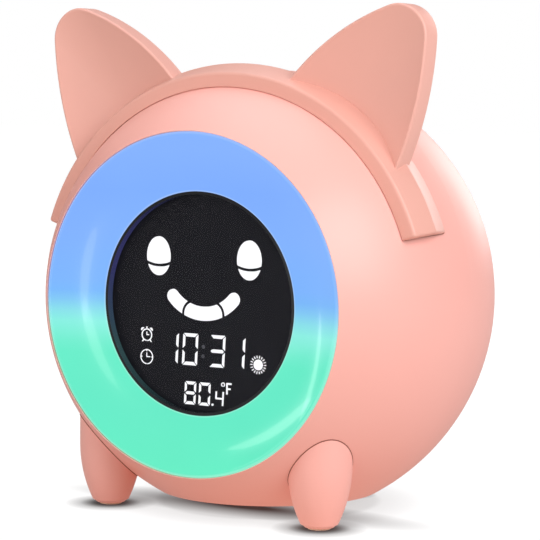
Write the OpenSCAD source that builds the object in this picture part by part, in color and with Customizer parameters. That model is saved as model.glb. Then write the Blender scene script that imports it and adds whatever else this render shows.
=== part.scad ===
// Child's alarm clock with a glowing ring face, a cat-ear headband and two front legs.
// The clock faces -Y. Its ring, display and rear panel share one axis that runs front to back.

/* [Body] */
// Outside diameter of the round body
body_d = 125.5; // [100:0.5:160]
// How far the ball's front rim stands out around the ring
ring_lip = 0.26; // [0.2:0.02:2]
// Front to back depth, from ring plane to rear rim
body_depth = 94.4; // [76:0.1:120]
// How much of the ball is cut off flat at the bottom
flat_cut = 8.25; // [5:0.05:12]
// Height of the body's flat underside above the table
flat_h = 3.6; // [2:0.1:6]
// Moulded wall thickness
wall = 2.2; // [1.8:0.1:3]
// Diameter of the four posts that join the halves
join_post_d = 8.4; // [8:0.1:10]
// How far those posts stand in from the ball's surface
join_post_in = 10.75; // [8:0.05:16]

/* [Light ring] */
// Outside diameter of the glowing ring
ring_od = 92; // [74:0.5:118]
// Diameter of the ring's inner edge
ring_id = 60; // [48:0.5:76]
// How far the inner edge lies behind the outer edge
ring_dish = 5.1; // [3:0.1:8]
// How far the ring's face sags between its two edges
ring_bow = 0.7; // [0.2:0.1:1.5]
// Wall thickness of the diffuser
ring_wall = 2; // [1.5:0.1:3]
// Rounding of the ring's outer edge
ring_round = 0.8; // [0.6:0.1:3]
// Number of lamps behind the ring
ring_led_count = 24; // [12:1:36]

/* [Display] */
// Depth of the lit symbols behind the ring plane
symbol_depth = 7.9; // [6:0.1:12]
// Thickness of the smoked window
lens_t = 0.6; // [0.4:0.1:2]
// Thickness of the black mask
mask_t = 0.8; // [0.6:0.1:1.5]
// Height of the time digits
time_h = 8.55; // [6:0.05:12]
// Width of one time digit
time_w = 4.75; // [4:0.05:8]
// Stroke of the time digits
time_stroke = 0.85; // [0.6:0.05:1.6]
// Height of the temperature digits
temp_h = 6.15; // [4:0.05:9]
// Width of one temperature digit
temp_w = 3.55; // [2.5:0.05:6]
// Lean of the digits in degrees
digit_slant = 3; // [0:0.5:12]
// Half the distance between the eyes
eye_x = 14.4; // [10:0.1:18]
// Height of the eyes above the axis
eye_y = 12.1; // [8:0.1:16]
// Radius of the smile's centre line
smile_r = 13; // [9:0.1:18]

/* [Head] */
// Depth of the headband's front face behind the ring plane
band_front = 17.5; // [12:0.1:24]
// Depth of the headband's crest
band_crest = 24.8; // [18:0.1:32]
// Depth of the headband's rear edge
band_rear = 33.1; // [26:0.1:42]
// How far the headband's front face stands out from the ball
band_h = 4.25; // [3:0.05:8]
// How far the headband's crest stands out from the ball
band_crest_h = 3.9; // [3:0.05:8]
// Angle from the top to each end of the headband
band_half_angle = 71.5; // [50:0.5:85]
// Depth of the ears' front face behind the ring plane
ear_front = 20.6; // [15:0.1:28]
// Thickness of an ear at its rim
ear_t = 7; // [4:0.1:10]
// Depth of the hollow in the ear's front
ear_dish = 4.6; // [2:0.1:6]
// Radius of the ear's round tip
ear_tip_r = 8.6; // [5:0.1:12]
// Angle of each ear above the horizontal
ear_angle = 54.5; // [40:0.5:70]
// How far the centre of the ear's tip stands out from the headband
ear_reach = 23.1; // [14:0.1:34]
// Half the width of an ear at its foot
ear_half_w = 20.4; // [12:0.1:26]

/* [Legs] */
// Sideways distance of each front leg from the middle
leg_x = 33.6; // [26:0.1:44]
// Distance of the legs behind the ring plane
leg_depth = 13; // [9:0.1:18]
// Largest radius of a leg
leg_r = 8.6; // [6:0.1:12]
// Radius of the leg's lower end
leg_foot_r = 4.4; // [3:0.1:7]
// Height where the leg reaches its full radius
leg_full_h = 17; // [10:0.1:24]
// Sideways distance of the rear feet from the middle
foot_x = 15.5; // [10:0.5:20]
// Radius of a rear foot
foot_r = 4.5; // [3:0.1:6]

/* [Rear panel] */
// Radius of the rear panel
panel_r = 33.4; // [26:0.1:42]
// Thickness of the rear panel
panel_t = 2; // [1.6:0.1:3]
// How far the panel lies inside the rear rim
panel_recess = 1.5; // [1:0.1:3]
// Radius of a push button
button_r = 4.25; // [3:0.05:5.5]
// How far a push button travels
button_travel = 0.6; // [0.3:0.05:1]
// How far the power knob slides
power_travel = 2; // [1:0.1:3]
// Radius of the loudspeaker
speaker_r = 14; // [10:0.1:17]
// Pitch of the sound holes
sound_pitch = 2.8; // [2.2:0.1:4]

/* [Hidden] */
$fn = 96;

body_r = body_d / 2;
inner_r = body_r - wall;
front_y = -body_depth / 2;
// the ball's centre: above the table, and behind the plane where its rim holds the ring
axis_h = flat_h + body_r - flat_cut;
ring_setback = sqrt(body_r * body_r - pow(ring_od / 2 + ring_lip, 2));
flat_y = flat_h - axis_h;
floor_y = flat_y + wall;
fit_gap = 0.1;
slip_gap = 0.05;
big = 4 * body_d;
trim_r = body_r - 0.5;

// seam between the halves
lip_t = 0.8;
lip_h = 1.5;
lip_gap = 0.1;
join_angles = [45, 135, 225, 315];
join_len = 22;
join_pilot_r = 1.1;
join_shank_r = 1.5;
join_head_r = 2.6;
join_head_h = 1.8;
join_seat = 5;
join_rib_t = 1.6;

// light ring and what sits behind it
ring_or = ring_od / 2;
ring_ir = ring_id / 2;
ring_skirt = 8;
ring_slope = atan2(ring_dish, ring_or - ring_ir - ring_round);
seat_r = ring_or + fit_gap;
ledge_r = ring_or - 3;
ledge_t = 2;
tray_or = ledge_r - 0.2;
join_post_r = max(body_r - join_post_in, tray_or + join_post_d / 2 + 0.3);
tray_wall = 1.2;
tray_front = symbol_depth - 0.4;
tray_floor = 13.4;
tray_floor_t = 1.6;
tray_back = tray_floor + tray_floor_t;
tray_post_r = ring_or + 1.5;
tray_ear_w = 9;
led_board_t = 1.2;
led_size = 3;
led_h = 1.4;

// display stack
bezel_wall = 0.8;
bezel_flange_t = 0.75;
bezel_skirt_t = 1.45;
stack_r = ring_ir + 1.65;
stack_back = tray_back;
bezel_or = stack_r + fit_gap + bezel_skirt_t;
tray_ir = bezel_or + 0.2;
display_board_t = 1.6;
display_screw_r = ring_ir - 2.5;
display_screw_angles = [90, 165, 15];
symbol_gap = 0.06;
eye_w = 7.6;
eye_h = 10.55;
eye_split_y = -1.55;
eye_split_r = 9.6;
split_w = 0.82;
smile_w = 3.75;
smile_half = 48;
smile_split = 27.5;
smile_split_r = 3.6;
time_y = -16.95;
temp_y = -27.55;
seg_gap = 0.34;
upright_share = 0.76;
temp_stroke = time_stroke * 0.88;
small_stroke = time_stroke * 0.48;
fine_stroke = 0.2;
sun_x = 17.4;
sun_y = -15.4;
sun_rays = 18;
icon_x = -18.2;
alarm_y = -9.6;
clock_y = -15.6;

// screws
screw_r = 0.95;
screw_head_r = 1.9;
screw_head_h = 1.3;

// main board
main_w = 64;
main_h = 52;
main_t = 1.6;
main_front = 24;
main_post_edge = 3;
main_post_x = main_w / 2 - main_post_edge;
main_post_y = main_h / 2 - main_post_edge;
main_post_r = 2.6;
main_back = main_front + main_t;

// rear panel stack, measured back from the ring plane
panel_out = body_depth - panel_recess;
panel_in = panel_out - panel_t;
panel_ledge_r = panel_r - 2.9;
rear_rim_r = panel_r + 1.7;
panel_ledge_t = 2;
panel_lobe = [26.5, 10];
panel_lobe_r = 4;
board_back = panel_in - 5.3;
board_t = 1.2;
board_w = 44;
board_low = -30;
board_high = -2.5;
board_post = [8, -11.5];
board_post_r = 2.2;
speaker_y = 15.5;
speaker_lug_x = 18.5;
button_hole_r = button_r + 0.1;
button_flange_r = button_r + 0.65;
button_flange_t = 0.9;
button_proud = 1.2;
button_stem_r = 1.6;
row_1 = -6.5;
row_2 = row_1 - 2 * button_flange_r - 0.5;
col_1 = 16;
col_2 = 14;
button_spots = [[-col_1, row_1], [0, row_1], [col_1, row_1],
    [-col_2, row_2], [0, row_2], [col_2, row_2]];
switch_w = 6;
switch_h = 2.7;
plunger_r = 1.7;
plunger_h = 0.4;
usb_spot = [-9, -25];
usb_w = 8.9;
usb_h = 3.2;
power_spot = [10, -25];
power_knob_w = 2.4;
power_knob_h = 2.2;
power_shoe_w = 6;
power_shoe_h = 3.4;
sensor_spot = [-20.5, -20];

pink = "#f0b5a4";
deep_pink = "#e8a491";
black = "#1e1e22";
white = "#f4f4f2";
steel = "#b9bcc0";
green = "#2c6e49";

// ---------- shared helpers ----------

// local x is right, local y is up, local z runs back from the ring plane
module on_axis() {
    translate([0, front_y, axis_h])
        rotate([-90, 0, 0])
            mirror([0, 1, 0])
                children();
}

module tube(r1, r2, h) {
    difference() {
        cylinder(r = r2, h = h);
        translate([0, 0, -1])
            cylinder(r = r1, h = h + 2);
    }
}

module around(list, r) {
    for (a = list)
        rotate([0, 0, a])
            translate([r, 0, 0])
                children();
}

module block(w, h, t) {
    translate([-w / 2, -h / 2, 0])
        cube([w, h, t]);
}

module screw(len) {
    difference() {
        union() {
            cylinder(r = screw_head_r, h = screw_head_h);
            translate([0, 0, -len])
                cylinder(r = screw_r, h = len);
        }
        translate([0, 0, screw_head_h - 0.6])
            block(0.5, 2.4, 1);
        translate([0, 0, screw_head_h - 0.6])
            block(2.4, 0.5, 1);
    }
}

function arc(c, r, a0, a1, n) =
    [for (i = [0 : n]) let (a = a0 + (a1 - a0) * i / n) [c[0] + r * cos(a), c[1] + r * sin(a)]];

// radius at depth d of a ball of radius r
function on_ball(r, d) = sqrt(max(0, r * r - pow(d - ring_setback, 2)));

// the ball, kept between two depths and above a level
module ball_slice(r, low, z0, z1) {
    intersection() {
        translate([0, 0, ring_setback])
            sphere(r = r);
        translate([-big / 2, low, z0])
            cube([big, big, z1 - z0]);
    }
}

// ---------- round body ----------

// posts from depth z0 to z1, each with a rib to the wall that ends at rib_z
module join_post(z0, z1, rib_z) {
    around(join_angles, join_post_r)
        translate([0, 0, z0]) {
            cylinder(d = join_post_d, h = z1 - z0);
            translate([0, -join_rib_t / 2, 0])
                cube([body_r, join_rib_t, rib_z - z0]);
        }
}

// the boss over each leg, from the table up to a little above the ball's inner wall
leg_boss_h = 4.9;
leg_boss_r = 5.6;
leg_boss_lid = 3;
leg_boss_top = axis_h + leg_boss_h
    - sqrt(inner_r * inner_r - leg_x * leg_x - pow(ring_setback - leg_depth, 2));

module leg_bosses() {
    for (s = [-1, 1])
        translate([s * leg_x, -axis_h, leg_depth])
            rotate([-90, 0, 0])
                cylinder(r = leg_boss_r, h = leg_boss_top);
}

module leg_boss_bores() {
    for (s = [-1, 1])
        translate([s * leg_x, -axis_h, leg_depth])
            rotate([-90, 0, 0]) {
                cylinder(r = 3 + fit_gap, h = leg_boss_top - leg_boss_lid);
                cylinder(r = 1.3, h = axis_h);
            }
}

band_pegs = [38, 90, 142];
band_peg_r = 2;
band_peg_z = band_crest + 1.2;
band_peg_in = 4.3;

module band_peg(r) {
    for (a = band_pegs)
        rotate([0, 0, a])
            translate([0, 0, band_peg_z])
                rotate([0, 90, 0])
                    translate([0, 0, on_ball(body_r, band_peg_z) - band_peg_in])
                        cylinder(r = r, h = 5);
}

module front_shell() {
    color(pink)
        on_axis()
            difference() {
                union() {
                    difference() {
                        ball_slice(body_r, flat_y, 0, ring_setback);
                        ball_slice(inner_r, floor_y, -1, ring_setback + 1);
                        intersection() {
                            translate([0, 0, ring_setback - lip_h - lip_gap])
                                tube(inner_r - 1, inner_r + lip_gap + lip_t + 0.1, lip_h + 1);
                            translate([-big / 2, floor_y, 0])
                                cube([big, big, big]);
                        }
                    }
                    intersection() {
                        ball_slice(trim_r, flat_y + 0.5, 0, ring_setback);
                        union() {
                            translate([0, 0, 1])
                                tube(seat_r, seat_r + 2.4, ring_skirt);
                            translate([0, 0, ring_skirt])
                                tube(ledge_r, body_r, ledge_t);
                            around([0, 90, 180, 270], tray_post_r)
                                translate([0, 0, ring_skirt])
                                    cylinder(r = 3, h = tray_floor - ring_skirt);
                            join_post(max(ring_setback - join_len, leg_depth + leg_boss_r + 1), ring_setback,
                                ring_setback - lip_h - lip_gap);
                            leg_bosses();
                        }
                    }
                }
                translate([0, 0, -1])
                    cylinder(r = seat_r, h = ring_skirt + 1);
                translate([0, 0, ring_skirt - 0.5])
                    cylinder(r = ledge_r, h = ledge_t + 1);
                around([0, 90, 180, 270], tray_post_r)
                    translate([0, 0, ring_skirt + 0.5])
                        cylinder(r = screw_r, h = tray_floor);
                around(join_angles, join_post_r)
                    translate([0, 0, ring_setback - 14])
                        cylinder(r = join_pilot_r, h = 15);
                leg_boss_bores();
                band_peg(band_peg_r + fit_gap);
            }
}

// the round rim that holds the rear panel, from where it leaves the ball's wall
rear_rim_z = min(panel_in - panel_ledge_t, ring_setback + on_ball(inner_r, ring_setback + rear_rim_r));

module rear_rim() {
    translate([0, 0, rear_rim_z])
        cylinder(r = rear_rim_r, h = body_depth - rear_rim_z);
}

module rear_shell() {
    color(pink)
        on_axis()
            difference() {
                union() {
                    difference() {
                        union() {
                            ball_slice(body_r, flat_y, ring_setback, body_depth);
                            rear_rim();
                        }
                        ball_slice(inner_r, floor_y, ring_setback - 1, body_depth - wall);
                        translate([0, 0, ring_setback])
                            cylinder(r = panel_ledge_r, h = body_depth);
                    }
                    intersection() {
                        translate([0, 0, ring_setback - lip_h])
                            tube(inner_r + lip_gap, inner_r + lip_gap + lip_t, lip_h + 4);
                        ball_slice(trim_r, floor_y + 0.1, 0, ring_setback + 4);
                    }
                    intersection() {
                        union() {
                            ball_slice(trim_r, flat_y + 0.5, ring_setback, body_depth);
                            rear_rim();
                        }
                        union() {
                            join_post(ring_setback, body_depth, body_depth);
                            translate([0, 0, panel_in - panel_ledge_t])
                                tube(panel_ledge_r, panel_r + 6, body_depth);
                            panel_lobes(panel_lobe_r, panel_in - panel_ledge_t, panel_ledge_t);
                        }
                    }
                }
                translate([0, 0, panel_in])
                    cylinder(r = panel_r + fit_gap, h = body_depth);
                around(join_angles, join_post_r) {
                    translate([0, 0, ring_setback - 1])
                        cylinder(r = join_shank_r, h = body_depth);
                    translate([0, 0, ring_setback + join_seat])
                        cylinder(r = join_head_r + 0.3, h = body_depth);
                }
                panel_lobes(screw_r, 0, body_depth);
                foot_spots(flat_y - 1)
                    cylinder(r = 1.4 + slip_gap, h = wall + 2);
            }
}

module panel_lobes(r, z, h) {
    for (sx = [-1, 1])
        for (sy = [-1, 1])
            translate([sx * panel_lobe[0], sy * panel_lobe[1], z])
                cylinder(r = r, h = h);
}

// children stand upright at each rear foot, with their z along local y
module foot_spots(y) {
    for (s = [-1, 1])
        translate([s * foot_x, y, ring_setback + 19])
            rotate([-90, 0, 0])
                children();
}

module rear_feet() {
    color("#d9c9bd")
        on_axis()
            foot_spots(-axis_h) {
                cylinder(r = foot_r, h = flat_h - 0.02);
                cylinder(r = 1.4, h = flat_h + wall - slip_gap);
            }
}

module housing_screws() {
    color(steel)
        on_axis()
            around(join_angles, join_post_r)
                translate([0, 0, ring_setback + join_seat]) {
                    cylinder(r = join_head_r, h = join_head_h);
                    translate([0, 0, -join_seat - 12])
                        cylinder(r = join_pilot_r - 0.02, h = join_seat + 12);
                }
}

module touch_plate() {
    color("#c98a4b")
        on_axis()
            intersection() {
                translate([0, 0, ring_setback])
                    difference() {
                        sphere(r = inner_r - fit_gap);
                        sphere(r = inner_r - fit_gap - 0.4);
                    }
                translate([0, 0, ring_setback + 15])
                    rotate([-90, 0, 0])
                        cylinder(r = 12, h = body_d);
            }
}

// ---------- legs ----------

leg_curve = (leg_full_h * leg_full_h + pow(leg_r - leg_foot_r, 2)) / (2 * (leg_r - leg_foot_r));
pad_h = 0.5;
pad_r = 3.05;

leg_low_a = asin((pad_h - leg_full_h) / leg_curve);
leg_top = leg_full_h + 18;

module leg_profile() {
    polygon(concat([[0, leg_top], [0, pad_h]],
        [[leg_foot_r - 0.45, pad_h], [leg_foot_r, pad_h + 0.4]],
        arc([leg_r - leg_curve, leg_full_h], leg_curve, leg_low_a * 0.95, 0, 14),
        [[leg_r, leg_top]]));
}

module leg() {
    difference() {
        union() {
            difference() {
                rotate_extrude($fn = 180)
                    leg_profile();
                translate([0, ring_setback - leg_depth, axis_h])
                    translate([-leg_x, 0, 0])
                        sphere(r = body_r + slip_gap, $fn = 360);
            }
            translate([0, 0, 6])
                cylinder(r = 3, h = leg_boss_top - leg_boss_lid - 0.2 - 6);
        }
        translate([0, 0, 7])
            cylinder(r = screw_r, h = axis_h);
        translate([0, 0, -1])
            cylinder(r = pad_r + slip_gap, h = pad_h + 1.2);
    }
}

module right_leg() {
    color(pink)
        translate([leg_x, front_y + leg_depth, 0])
            leg();
}

module left_leg() {
    color(pink)
        mirror([1, 0, 0])
            translate([leg_x, front_y + leg_depth, 0])
                leg();
}

module leg_pads() {
    color("#e6d3c2")
        for (s = [-1, 1])
            translate([s * leg_x, front_y + leg_depth, 0])
                cylinder(r = pad_r, h = pad_h + 0.2);
}

module leg_screws() {
    color(steel)
        for (s = [-1, 1])
            translate([s * leg_x, front_y + leg_depth, leg_boss_top])
                screw(12);
}

// ---------- light ring ----------

// front surface of the diffuser: a dished cone that rounds over at the rim
ring_c = [ring_or - ring_round, ring_round];
ring_tan = [ring_c[0] - ring_round * sin(ring_slope), ring_c[1] - ring_round * cos(ring_slope)];
function ring_face(r) = ring_tan[1] + (ring_tan[0] - r) * tan(ring_slope);
function ring_sag(t) = ring_bow * 4 * t * (1 - t);
ring_bow_steps = 12;
ring_front = [for (i = [0 : ring_bow_steps])
    let (t = i / ring_bow_steps, r = ring_ir + slip_gap + t * (ring_tan[0] - ring_ir - slip_gap))
    [r, ring_face(r) + ring_sag(t)]];

module light_ring() {
    color("#9fd8ee")
        on_axis()
            rotate_extrude($fn = 180)
                difference() {
                    union() {
                        polygon(concat(ring_front, [ring_c, [ring_or, ring_c[1]],
                            [ring_or, ring_skirt - slip_gap],
                            [ring_ir + slip_gap, ring_skirt - slip_gap]]));
                        translate(ring_c)
                            circle(r = ring_round, $fn = 64);
                    }
                    polygon([[ring_ir - 1, ring_face(ring_ir - 1) + ring_wall],
                        [(ring_ir + ring_or) / 2, ring_face((ring_ir + ring_or) / 2) + ring_bow + ring_wall],
                        [ring_or - ring_wall, ring_face(ring_or - ring_wall) + ring_wall + 0.6],
                        [ring_or - ring_wall, ring_skirt + 1], [ring_ir - 1, ring_skirt + 1]]);
                }
}

module ring_reflector() {
    color(white)
        on_axis()
            difference() {
                union() {
                    translate([0, 0, tray_floor])
                        tube(tray_ir, tray_or, tray_floor_t);
                    translate([0, 0, tray_front])
                        tube(tray_ir, tray_ir + tray_wall, tray_back - tray_front);
                    translate([0, 0, tray_front])
                        tube(tray_or - tray_wall, tray_or, tray_back - tray_front);
                    around([0, 90, 180, 270], 0)
                        translate([tray_or - 0.5, -tray_ear_w / 2, tray_floor + slip_gap])
                            cube([tray_post_r + 3 - tray_or, tray_ear_w, tray_floor_t - slip_gap]);
                    for (sx = [-1, 1])
                        for (sy = [-1, 1])
                            translate([sx * main_post_x, sy * main_post_y, tray_floor])
                                cylinder(r = main_post_r, h = main_front - tray_floor);
                }
                around([0, 90, 180, 270], tray_post_r)
                    cylinder(r = screw_r + 0.3, h = body_depth);
                for (sx = [-1, 1])
                    for (sy = [-1, 1])
                        translate([sx * main_post_x, sy * main_post_y, tray_back])
                            cylinder(r = screw_r, h = body_depth);
            }
}

module reflector_screws() {
    color(steel)
        on_axis()
            around([0, 90, 180, 270], tray_post_r)
                translate([0, 0, tray_back])
                    screw(6);
}

led_ring_r = (tray_ir + tray_or) / 2;

module ring_board() {
    color(white)
        on_axis()
            translate([0, 0, tray_floor - led_board_t])
                tube(tray_ir + tray_wall + fit_gap, tray_or - tray_wall - fit_gap,
                    led_board_t - 0.02);
}

module ring_leds() {
    color("#ffe9a8")
        on_axis()
            for (i = [0 : ring_led_count - 1])
                rotate([0, 0, (i + 0.5) * 360 / ring_led_count])
                    translate([led_ring_r, 0, tray_floor - led_board_t - led_h])
                        block(led_size, led_size, led_h - 0.01);
}

// ---------- display ----------

module display_bezel() {
    color(black)
        on_axis()
            rotate_extrude($fn = 160)
                polygon([[ring_ir - bezel_wall, ring_dish], [ring_ir, ring_dish],
                    [ring_ir, symbol_depth - bezel_flange_t + 0.2],
                    [bezel_or, symbol_depth - bezel_flange_t + 0.2],
                    [bezel_or, stack_back - slip_gap],
                    [bezel_or - bezel_skirt_t, stack_back - slip_gap],
                    [bezel_or - bezel_skirt_t, symbol_depth + fit_gap],
                    [ring_ir - bezel_wall + 0.6, symbol_depth + fit_gap],
                    [ring_ir - bezel_wall + 0.6, symbol_depth - lens_t],
                    [ring_ir - bezel_wall, symbol_depth - lens_t]]);
}

module display_lens() {
    color("#1c1c20")
        on_axis()
            translate([0, 0, symbol_depth - lens_t + 0.02])
                cylinder(r = ring_ir - bezel_wall + 0.55, h = lens_t - 0.04);
}

module display_mask() {
    color(black)
        on_axis()
            translate([0, 0, symbol_depth + fit_gap + 0.02])
                difference() {
                    cylinder(r = stack_r, h = mask_t - 0.04);
                    translate([0, 0, -1])
                        linear_extrude(mask_t + 2)
                            all_symbols(symbol_gap);
                }
}

module symbol_piece() {
    on_axis()
        translate([0, 0, symbol_depth + 0.02])
            linear_extrude(mask_t + fit_gap - 0.04)
                children();
}

function oval(a, b, n) = [for (i = [0 : n - 1]) [a * cos(360 * i / n), b * sin(360 * i / n)]];

// one eye: an oval with a thin sagging line across its lower part
module eye(g) {
    difference() {
        polygon(oval(eye_w / 2 + g, eye_h / 2 + g, 48));
        intersection() {
            translate([0, eye_split_y + eye_split_r - 1])
                difference() {
                    circle(r = eye_split_r + split_w / 2 - g);
                    circle(r = eye_split_r - split_w / 2 + g);
                }
            translate([-eye_w, -eye_h])
                square([2 * eye_w, eye_h]);
        }
    }
}

module eyes(g) {
    for (s = [-1, 1])
        translate([s * eye_x, eye_y])
            eye(g);
}

// outline of an arc with round ends, centred on the origin and open upward
function mouth(r, w, half) =
    let (h = w / 2, s = 90 - half, e = half - 90, ends = [for (a = [-90 - half, e]) r * [cos(a), sin(a)]])
    concat(
        [for (i = [0 : 30]) (r + h) * [cos(e - half * 2 * (1 - i / 30)), sin(e - half * 2 * (1 - i / 30))]],
        [for (i = [1 : 11]) ends[1] + h * [cos(e + i * 15), sin(e + i * 15)]],
        [for (i = [0 : 30]) (r - h) * [cos(e - half * 2 * i / 30), sin(e - half * 2 * i / 30)]],
        [for (i = [1 : 11]) ends[0] + h * [cos(s + i * 15), sin(s + i * 15)]]
    );

// a curved mouth in three pieces with round ends
smile_y = smile_r - 2.85;
module smile(g) {
    translate([0, smile_y])
        difference() {
            polygon(mouth(smile_r, smile_w + 2 * g, smile_half));
            for (s = [-1, 1])
                rotate(s * smile_split)
                    intersection() {
                        translate([-s * smile_split_r, -smile_r])
                            difference() {
                                circle(r = smile_split_r + split_w / 2 - g, $fn = 72);
                                circle(r = smile_split_r - split_w / 2 + g, $fn = 72);
                            }
                        translate([s > 0 ? -1.3 : -0.6, -2 * smile_r])
                            square([1.9, 2 * smile_r]);
                    }
        }
}

// seven-segment figures; segments are a b c d e f g, clockwise from the top
function lean(p) = [p[0] + p[1] * tan(digit_slant), p[1]];
// Bars of a figure. Ends are cut at 45 degrees, k is half the gap between two bars, and g
// widens a bar all round, so that its opening in the mask clears it.
function flat_bar(w, y, s, t, k, g) =
    [[k - 2.41 * g, y - s * g], [w - k + 2.41 * g, y - s * g],
    [w - k - t + 0.41 * g, y + s * (t + g)], [k + t - 0.41 * g, y + s * (t + g)]];
function mid_bar(w, y, t, k, g) =
    let (a = k - 1.41 * g, b = k + t / 2 - 0.41 * g, u = t / 2 + g)
    [[a, y], [b, y + u], [w - b, y + u], [w - a, y], [w - b, y - u], [b, y - u]];
function upright(x, y0, y1, s, t, k, g) =
    let (m = k + 0.08)
    [[x - s * g, y0 + m - 2.41 * g], [x - s * g, y1 - k + 2.41 * g],
    [x + s * (t + g), y1 - k - t + 0.41 * g], [x + s * (t + g), y0 + m + t - 0.41 * g]];
function flip(h, pts) = [for (p = pts) [p[0], h - p[1]]];

module figure(w, h, t, lit, g) {
    k = seg_gap * 0.7;
    left = upright(0, h / 2, h, 1, t * upright_share, k, g);
    right = upright(w, h / 2, h, -1, t * upright_share, k, g);
    segs = [flat_bar(w, h, -1, t, k, g), right, flip(h, right), flat_bar(w, 0, 1, t, k, g),
        flip(h, left), left, mid_bar(w, h / 2, t, k + 0.1, g)];
    for (i = lit)
        polygon([for (p = segs[i]) lean(p)]);
}

digit_0 = [0, 1, 2, 3, 4, 5];
digit_1 = [1, 2];
digit_3 = [0, 1, 2, 3, 6];
digit_8 = [0, 1, 2, 3, 4, 5, 6];
time_cells = [[-12.95, digit_1], [-6.7, digit_0], [1.95, digit_3], [8.2, digit_1]];
temp_cells = [[-5.95, digit_8], [-1.35, digit_0]];
small_w = 2.6;
small_h = 3.75;

// the small figure four is one outline, as its bars touch
function small_four(w, h, t, g) =
    let (y = h / 2, u = t / 2)
    [[-g, h + g], [t + g, h + g], [t + g, y + u + g], [w - t - g, y + u + g], [w - t - g, h + g],
    [w + g, h + g], [w + g, -g], [w - t - g, -g], [w - t - g, y - u - g], [u - g / 2, y - u - g],
    [-g, y - g / 2]];

module time_figures(g) {
    for (c = time_cells)
        translate([c[0], time_y])
            figure(time_w, time_h, time_stroke, c[1], g);
}

module temperature_figures(g) {
    for (c = temp_cells)
        translate([c[0], temp_y])
            figure(temp_w, temp_h, temp_stroke, c[1], g);
    translate([3.15, -27.1])
        circle(r = 0.3 + g, $fn = 24);
    translate([3.95, -27.2])
        polygon([for (p = small_four(small_w, small_h, small_stroke, g)) lean(p)]);
    translate([6.45, -21.45])
        dial(0.58, fine_stroke, g);
    translate([7.5, -24]) {
        translate([-g, -g])
            square([small_stroke + 2 * g, 3.05 + 2 * g]);
        translate([small_stroke, 3.05 - small_stroke - g])
            square([1.2 + g, small_stroke + 2 * g]);
        translate([small_stroke, 1.25 - g])
            square([0.9 + g, small_stroke + 2 * g]);
    }
}

// a hollow circle that keeps one thin bridge, so that its middle stays in the mask
module dial(r, t, g) {
    difference() {
        circle(r = r + g, $fn = 48);
        circle(r = r - t - g, $fn = 40);
        translate([-0.13 + g, -2 * r])
            square([0.26 - 2 * g, 2 * r]);
    }
}

module icons(g) {
    translate([icon_x, clock_y]) {
        dial(2.04, fine_stroke, g);
        for (a = [0, 90, 180])
            rotate(a)
                translate([1.5 - g, -fine_stroke / 2 - g])
                    square([0.45, fine_stroke + 2 * g]);
        translate([-fine_stroke / 2 - g, -fine_stroke / 2 - g])
            square([fine_stroke + 2 * g, 1.2 + g]);
        translate([fine_stroke / 2, -fine_stroke / 2 - g])
            square([0.95 + g, fine_stroke + 2 * g]);
    }
    translate([icon_x, alarm_y]) {
        dial(1.7, fine_stroke + 0.05, g);
        translate([-fine_stroke / 2 - g, -fine_stroke / 2 - g])
            square([fine_stroke + 2 * g, 0.95 + g]);
        translate([fine_stroke / 2, -fine_stroke / 2 - g])
            square([0.6 + g, fine_stroke + 2 * g]);
        for (s = [-1, 1]) {
            rotate(-s * 43)
                translate([0, 1.92])
                    intersection() {
                        circle(r = 0.58 + g, $fn = 32);
                        translate([-1, 0.1 - g])
                            square([2, 1]);
                    }
            rotate(s * 38)
                translate([-0.14 - g, -2.35 - g])
                    square([0.28 + 2 * g, 0.8]);
        }
        translate([0, 2.05])
            circle(r = 0.2 + g, $fn = 24);
    }
    translate([sun_x, sun_y]) {
        circle(r = 1.4 + g, $fn = 40);
        for (i = [1 : sun_rays])
            rotate(i * 360 / sun_rays)
                translate([1.78 - g, -fine_stroke * 0.4 - g])
                    square([0.68 + 2 * g, fine_stroke * 0.8 + 2 * g]);
    }
}

module unlit(g) {
    for (y = [-11.7, -14.3])
        translate([lean([0, y])[0] + 0.75, y])
            circle(r = 0.5 + g, $fn = 24);
}

module all_symbols(g) {
    eyes(g);
    smile(g);
    time_figures(g);
    temperature_figures(g);
    icons(g);
    unlit(g);
}

module eye_windows() {
    color("white") symbol_piece() eyes(0);
}

module smile_window() {
    color("white") symbol_piece() smile(0);
}

module time_digits() {
    color("white") symbol_piece() time_figures(0);
}

module temperature_digits() {
    color("white") symbol_piece() temperature_figures(0);
}

module status_icons() {
    color("white") symbol_piece() icons(0);
}

module unlit_symbols() {
    color("#3a3a44") symbol_piece() unlit(0);
}

// light wells: [centre x, centre y, width, height]
box_front = symbol_depth + fit_gap + mask_t;
wells = [[-eye_x, eye_y, 10, 13], [eye_x, eye_y, 10, 13], [0, 0.5, 25.5, 7.4],
    [-18.2, -11.9, 6, 11.5], [0.3, -12.6, 28.5, 9.6], [17.8, -15.4, 5, 6.2],
    [1.2, -23.7, 17, 9]];

module light_box() {
    color(white)
        on_axis()
            difference() {
                translate([0, 0, box_front])
                    cylinder(r = stack_r - 0.02, h = stack_back - box_front - 0.02);
                for (w = wells)
                    translate([w[0], w[1], box_front - 1])
                        block(w[2], w[3], stack_back);
                around(display_screw_angles, display_screw_r)
                    cylinder(r = screw_r, h = body_depth);
            }
}

module display_board() {
    color(green)
        on_axis()
            difference() {
                translate([0, 0, stack_back])
                    cylinder(r = bezel_or - 0.1, h = display_board_t);
                around(display_screw_angles, display_screw_r)
                    cylinder(r = screw_r + 0.2, h = body_depth);
            }
}

module display_screws() {
    color(steel)
        on_axis()
            around(display_screw_angles, display_screw_r)
                translate([0, 0, stack_back + display_board_t])
                    screw(5);
}

module display_leds() {
    color("#fff4d0")
        on_axis()
            for (w = wells)
                for (s = w[2] > 12 ? [-1, 0, 1] : [0])
                    translate([w[0] + s * w[2] * 0.33, w[1], stack_back - 1])
                        block(1.6, 0.9, 0.99);
}

// ---------- headband and ears ----------

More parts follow.
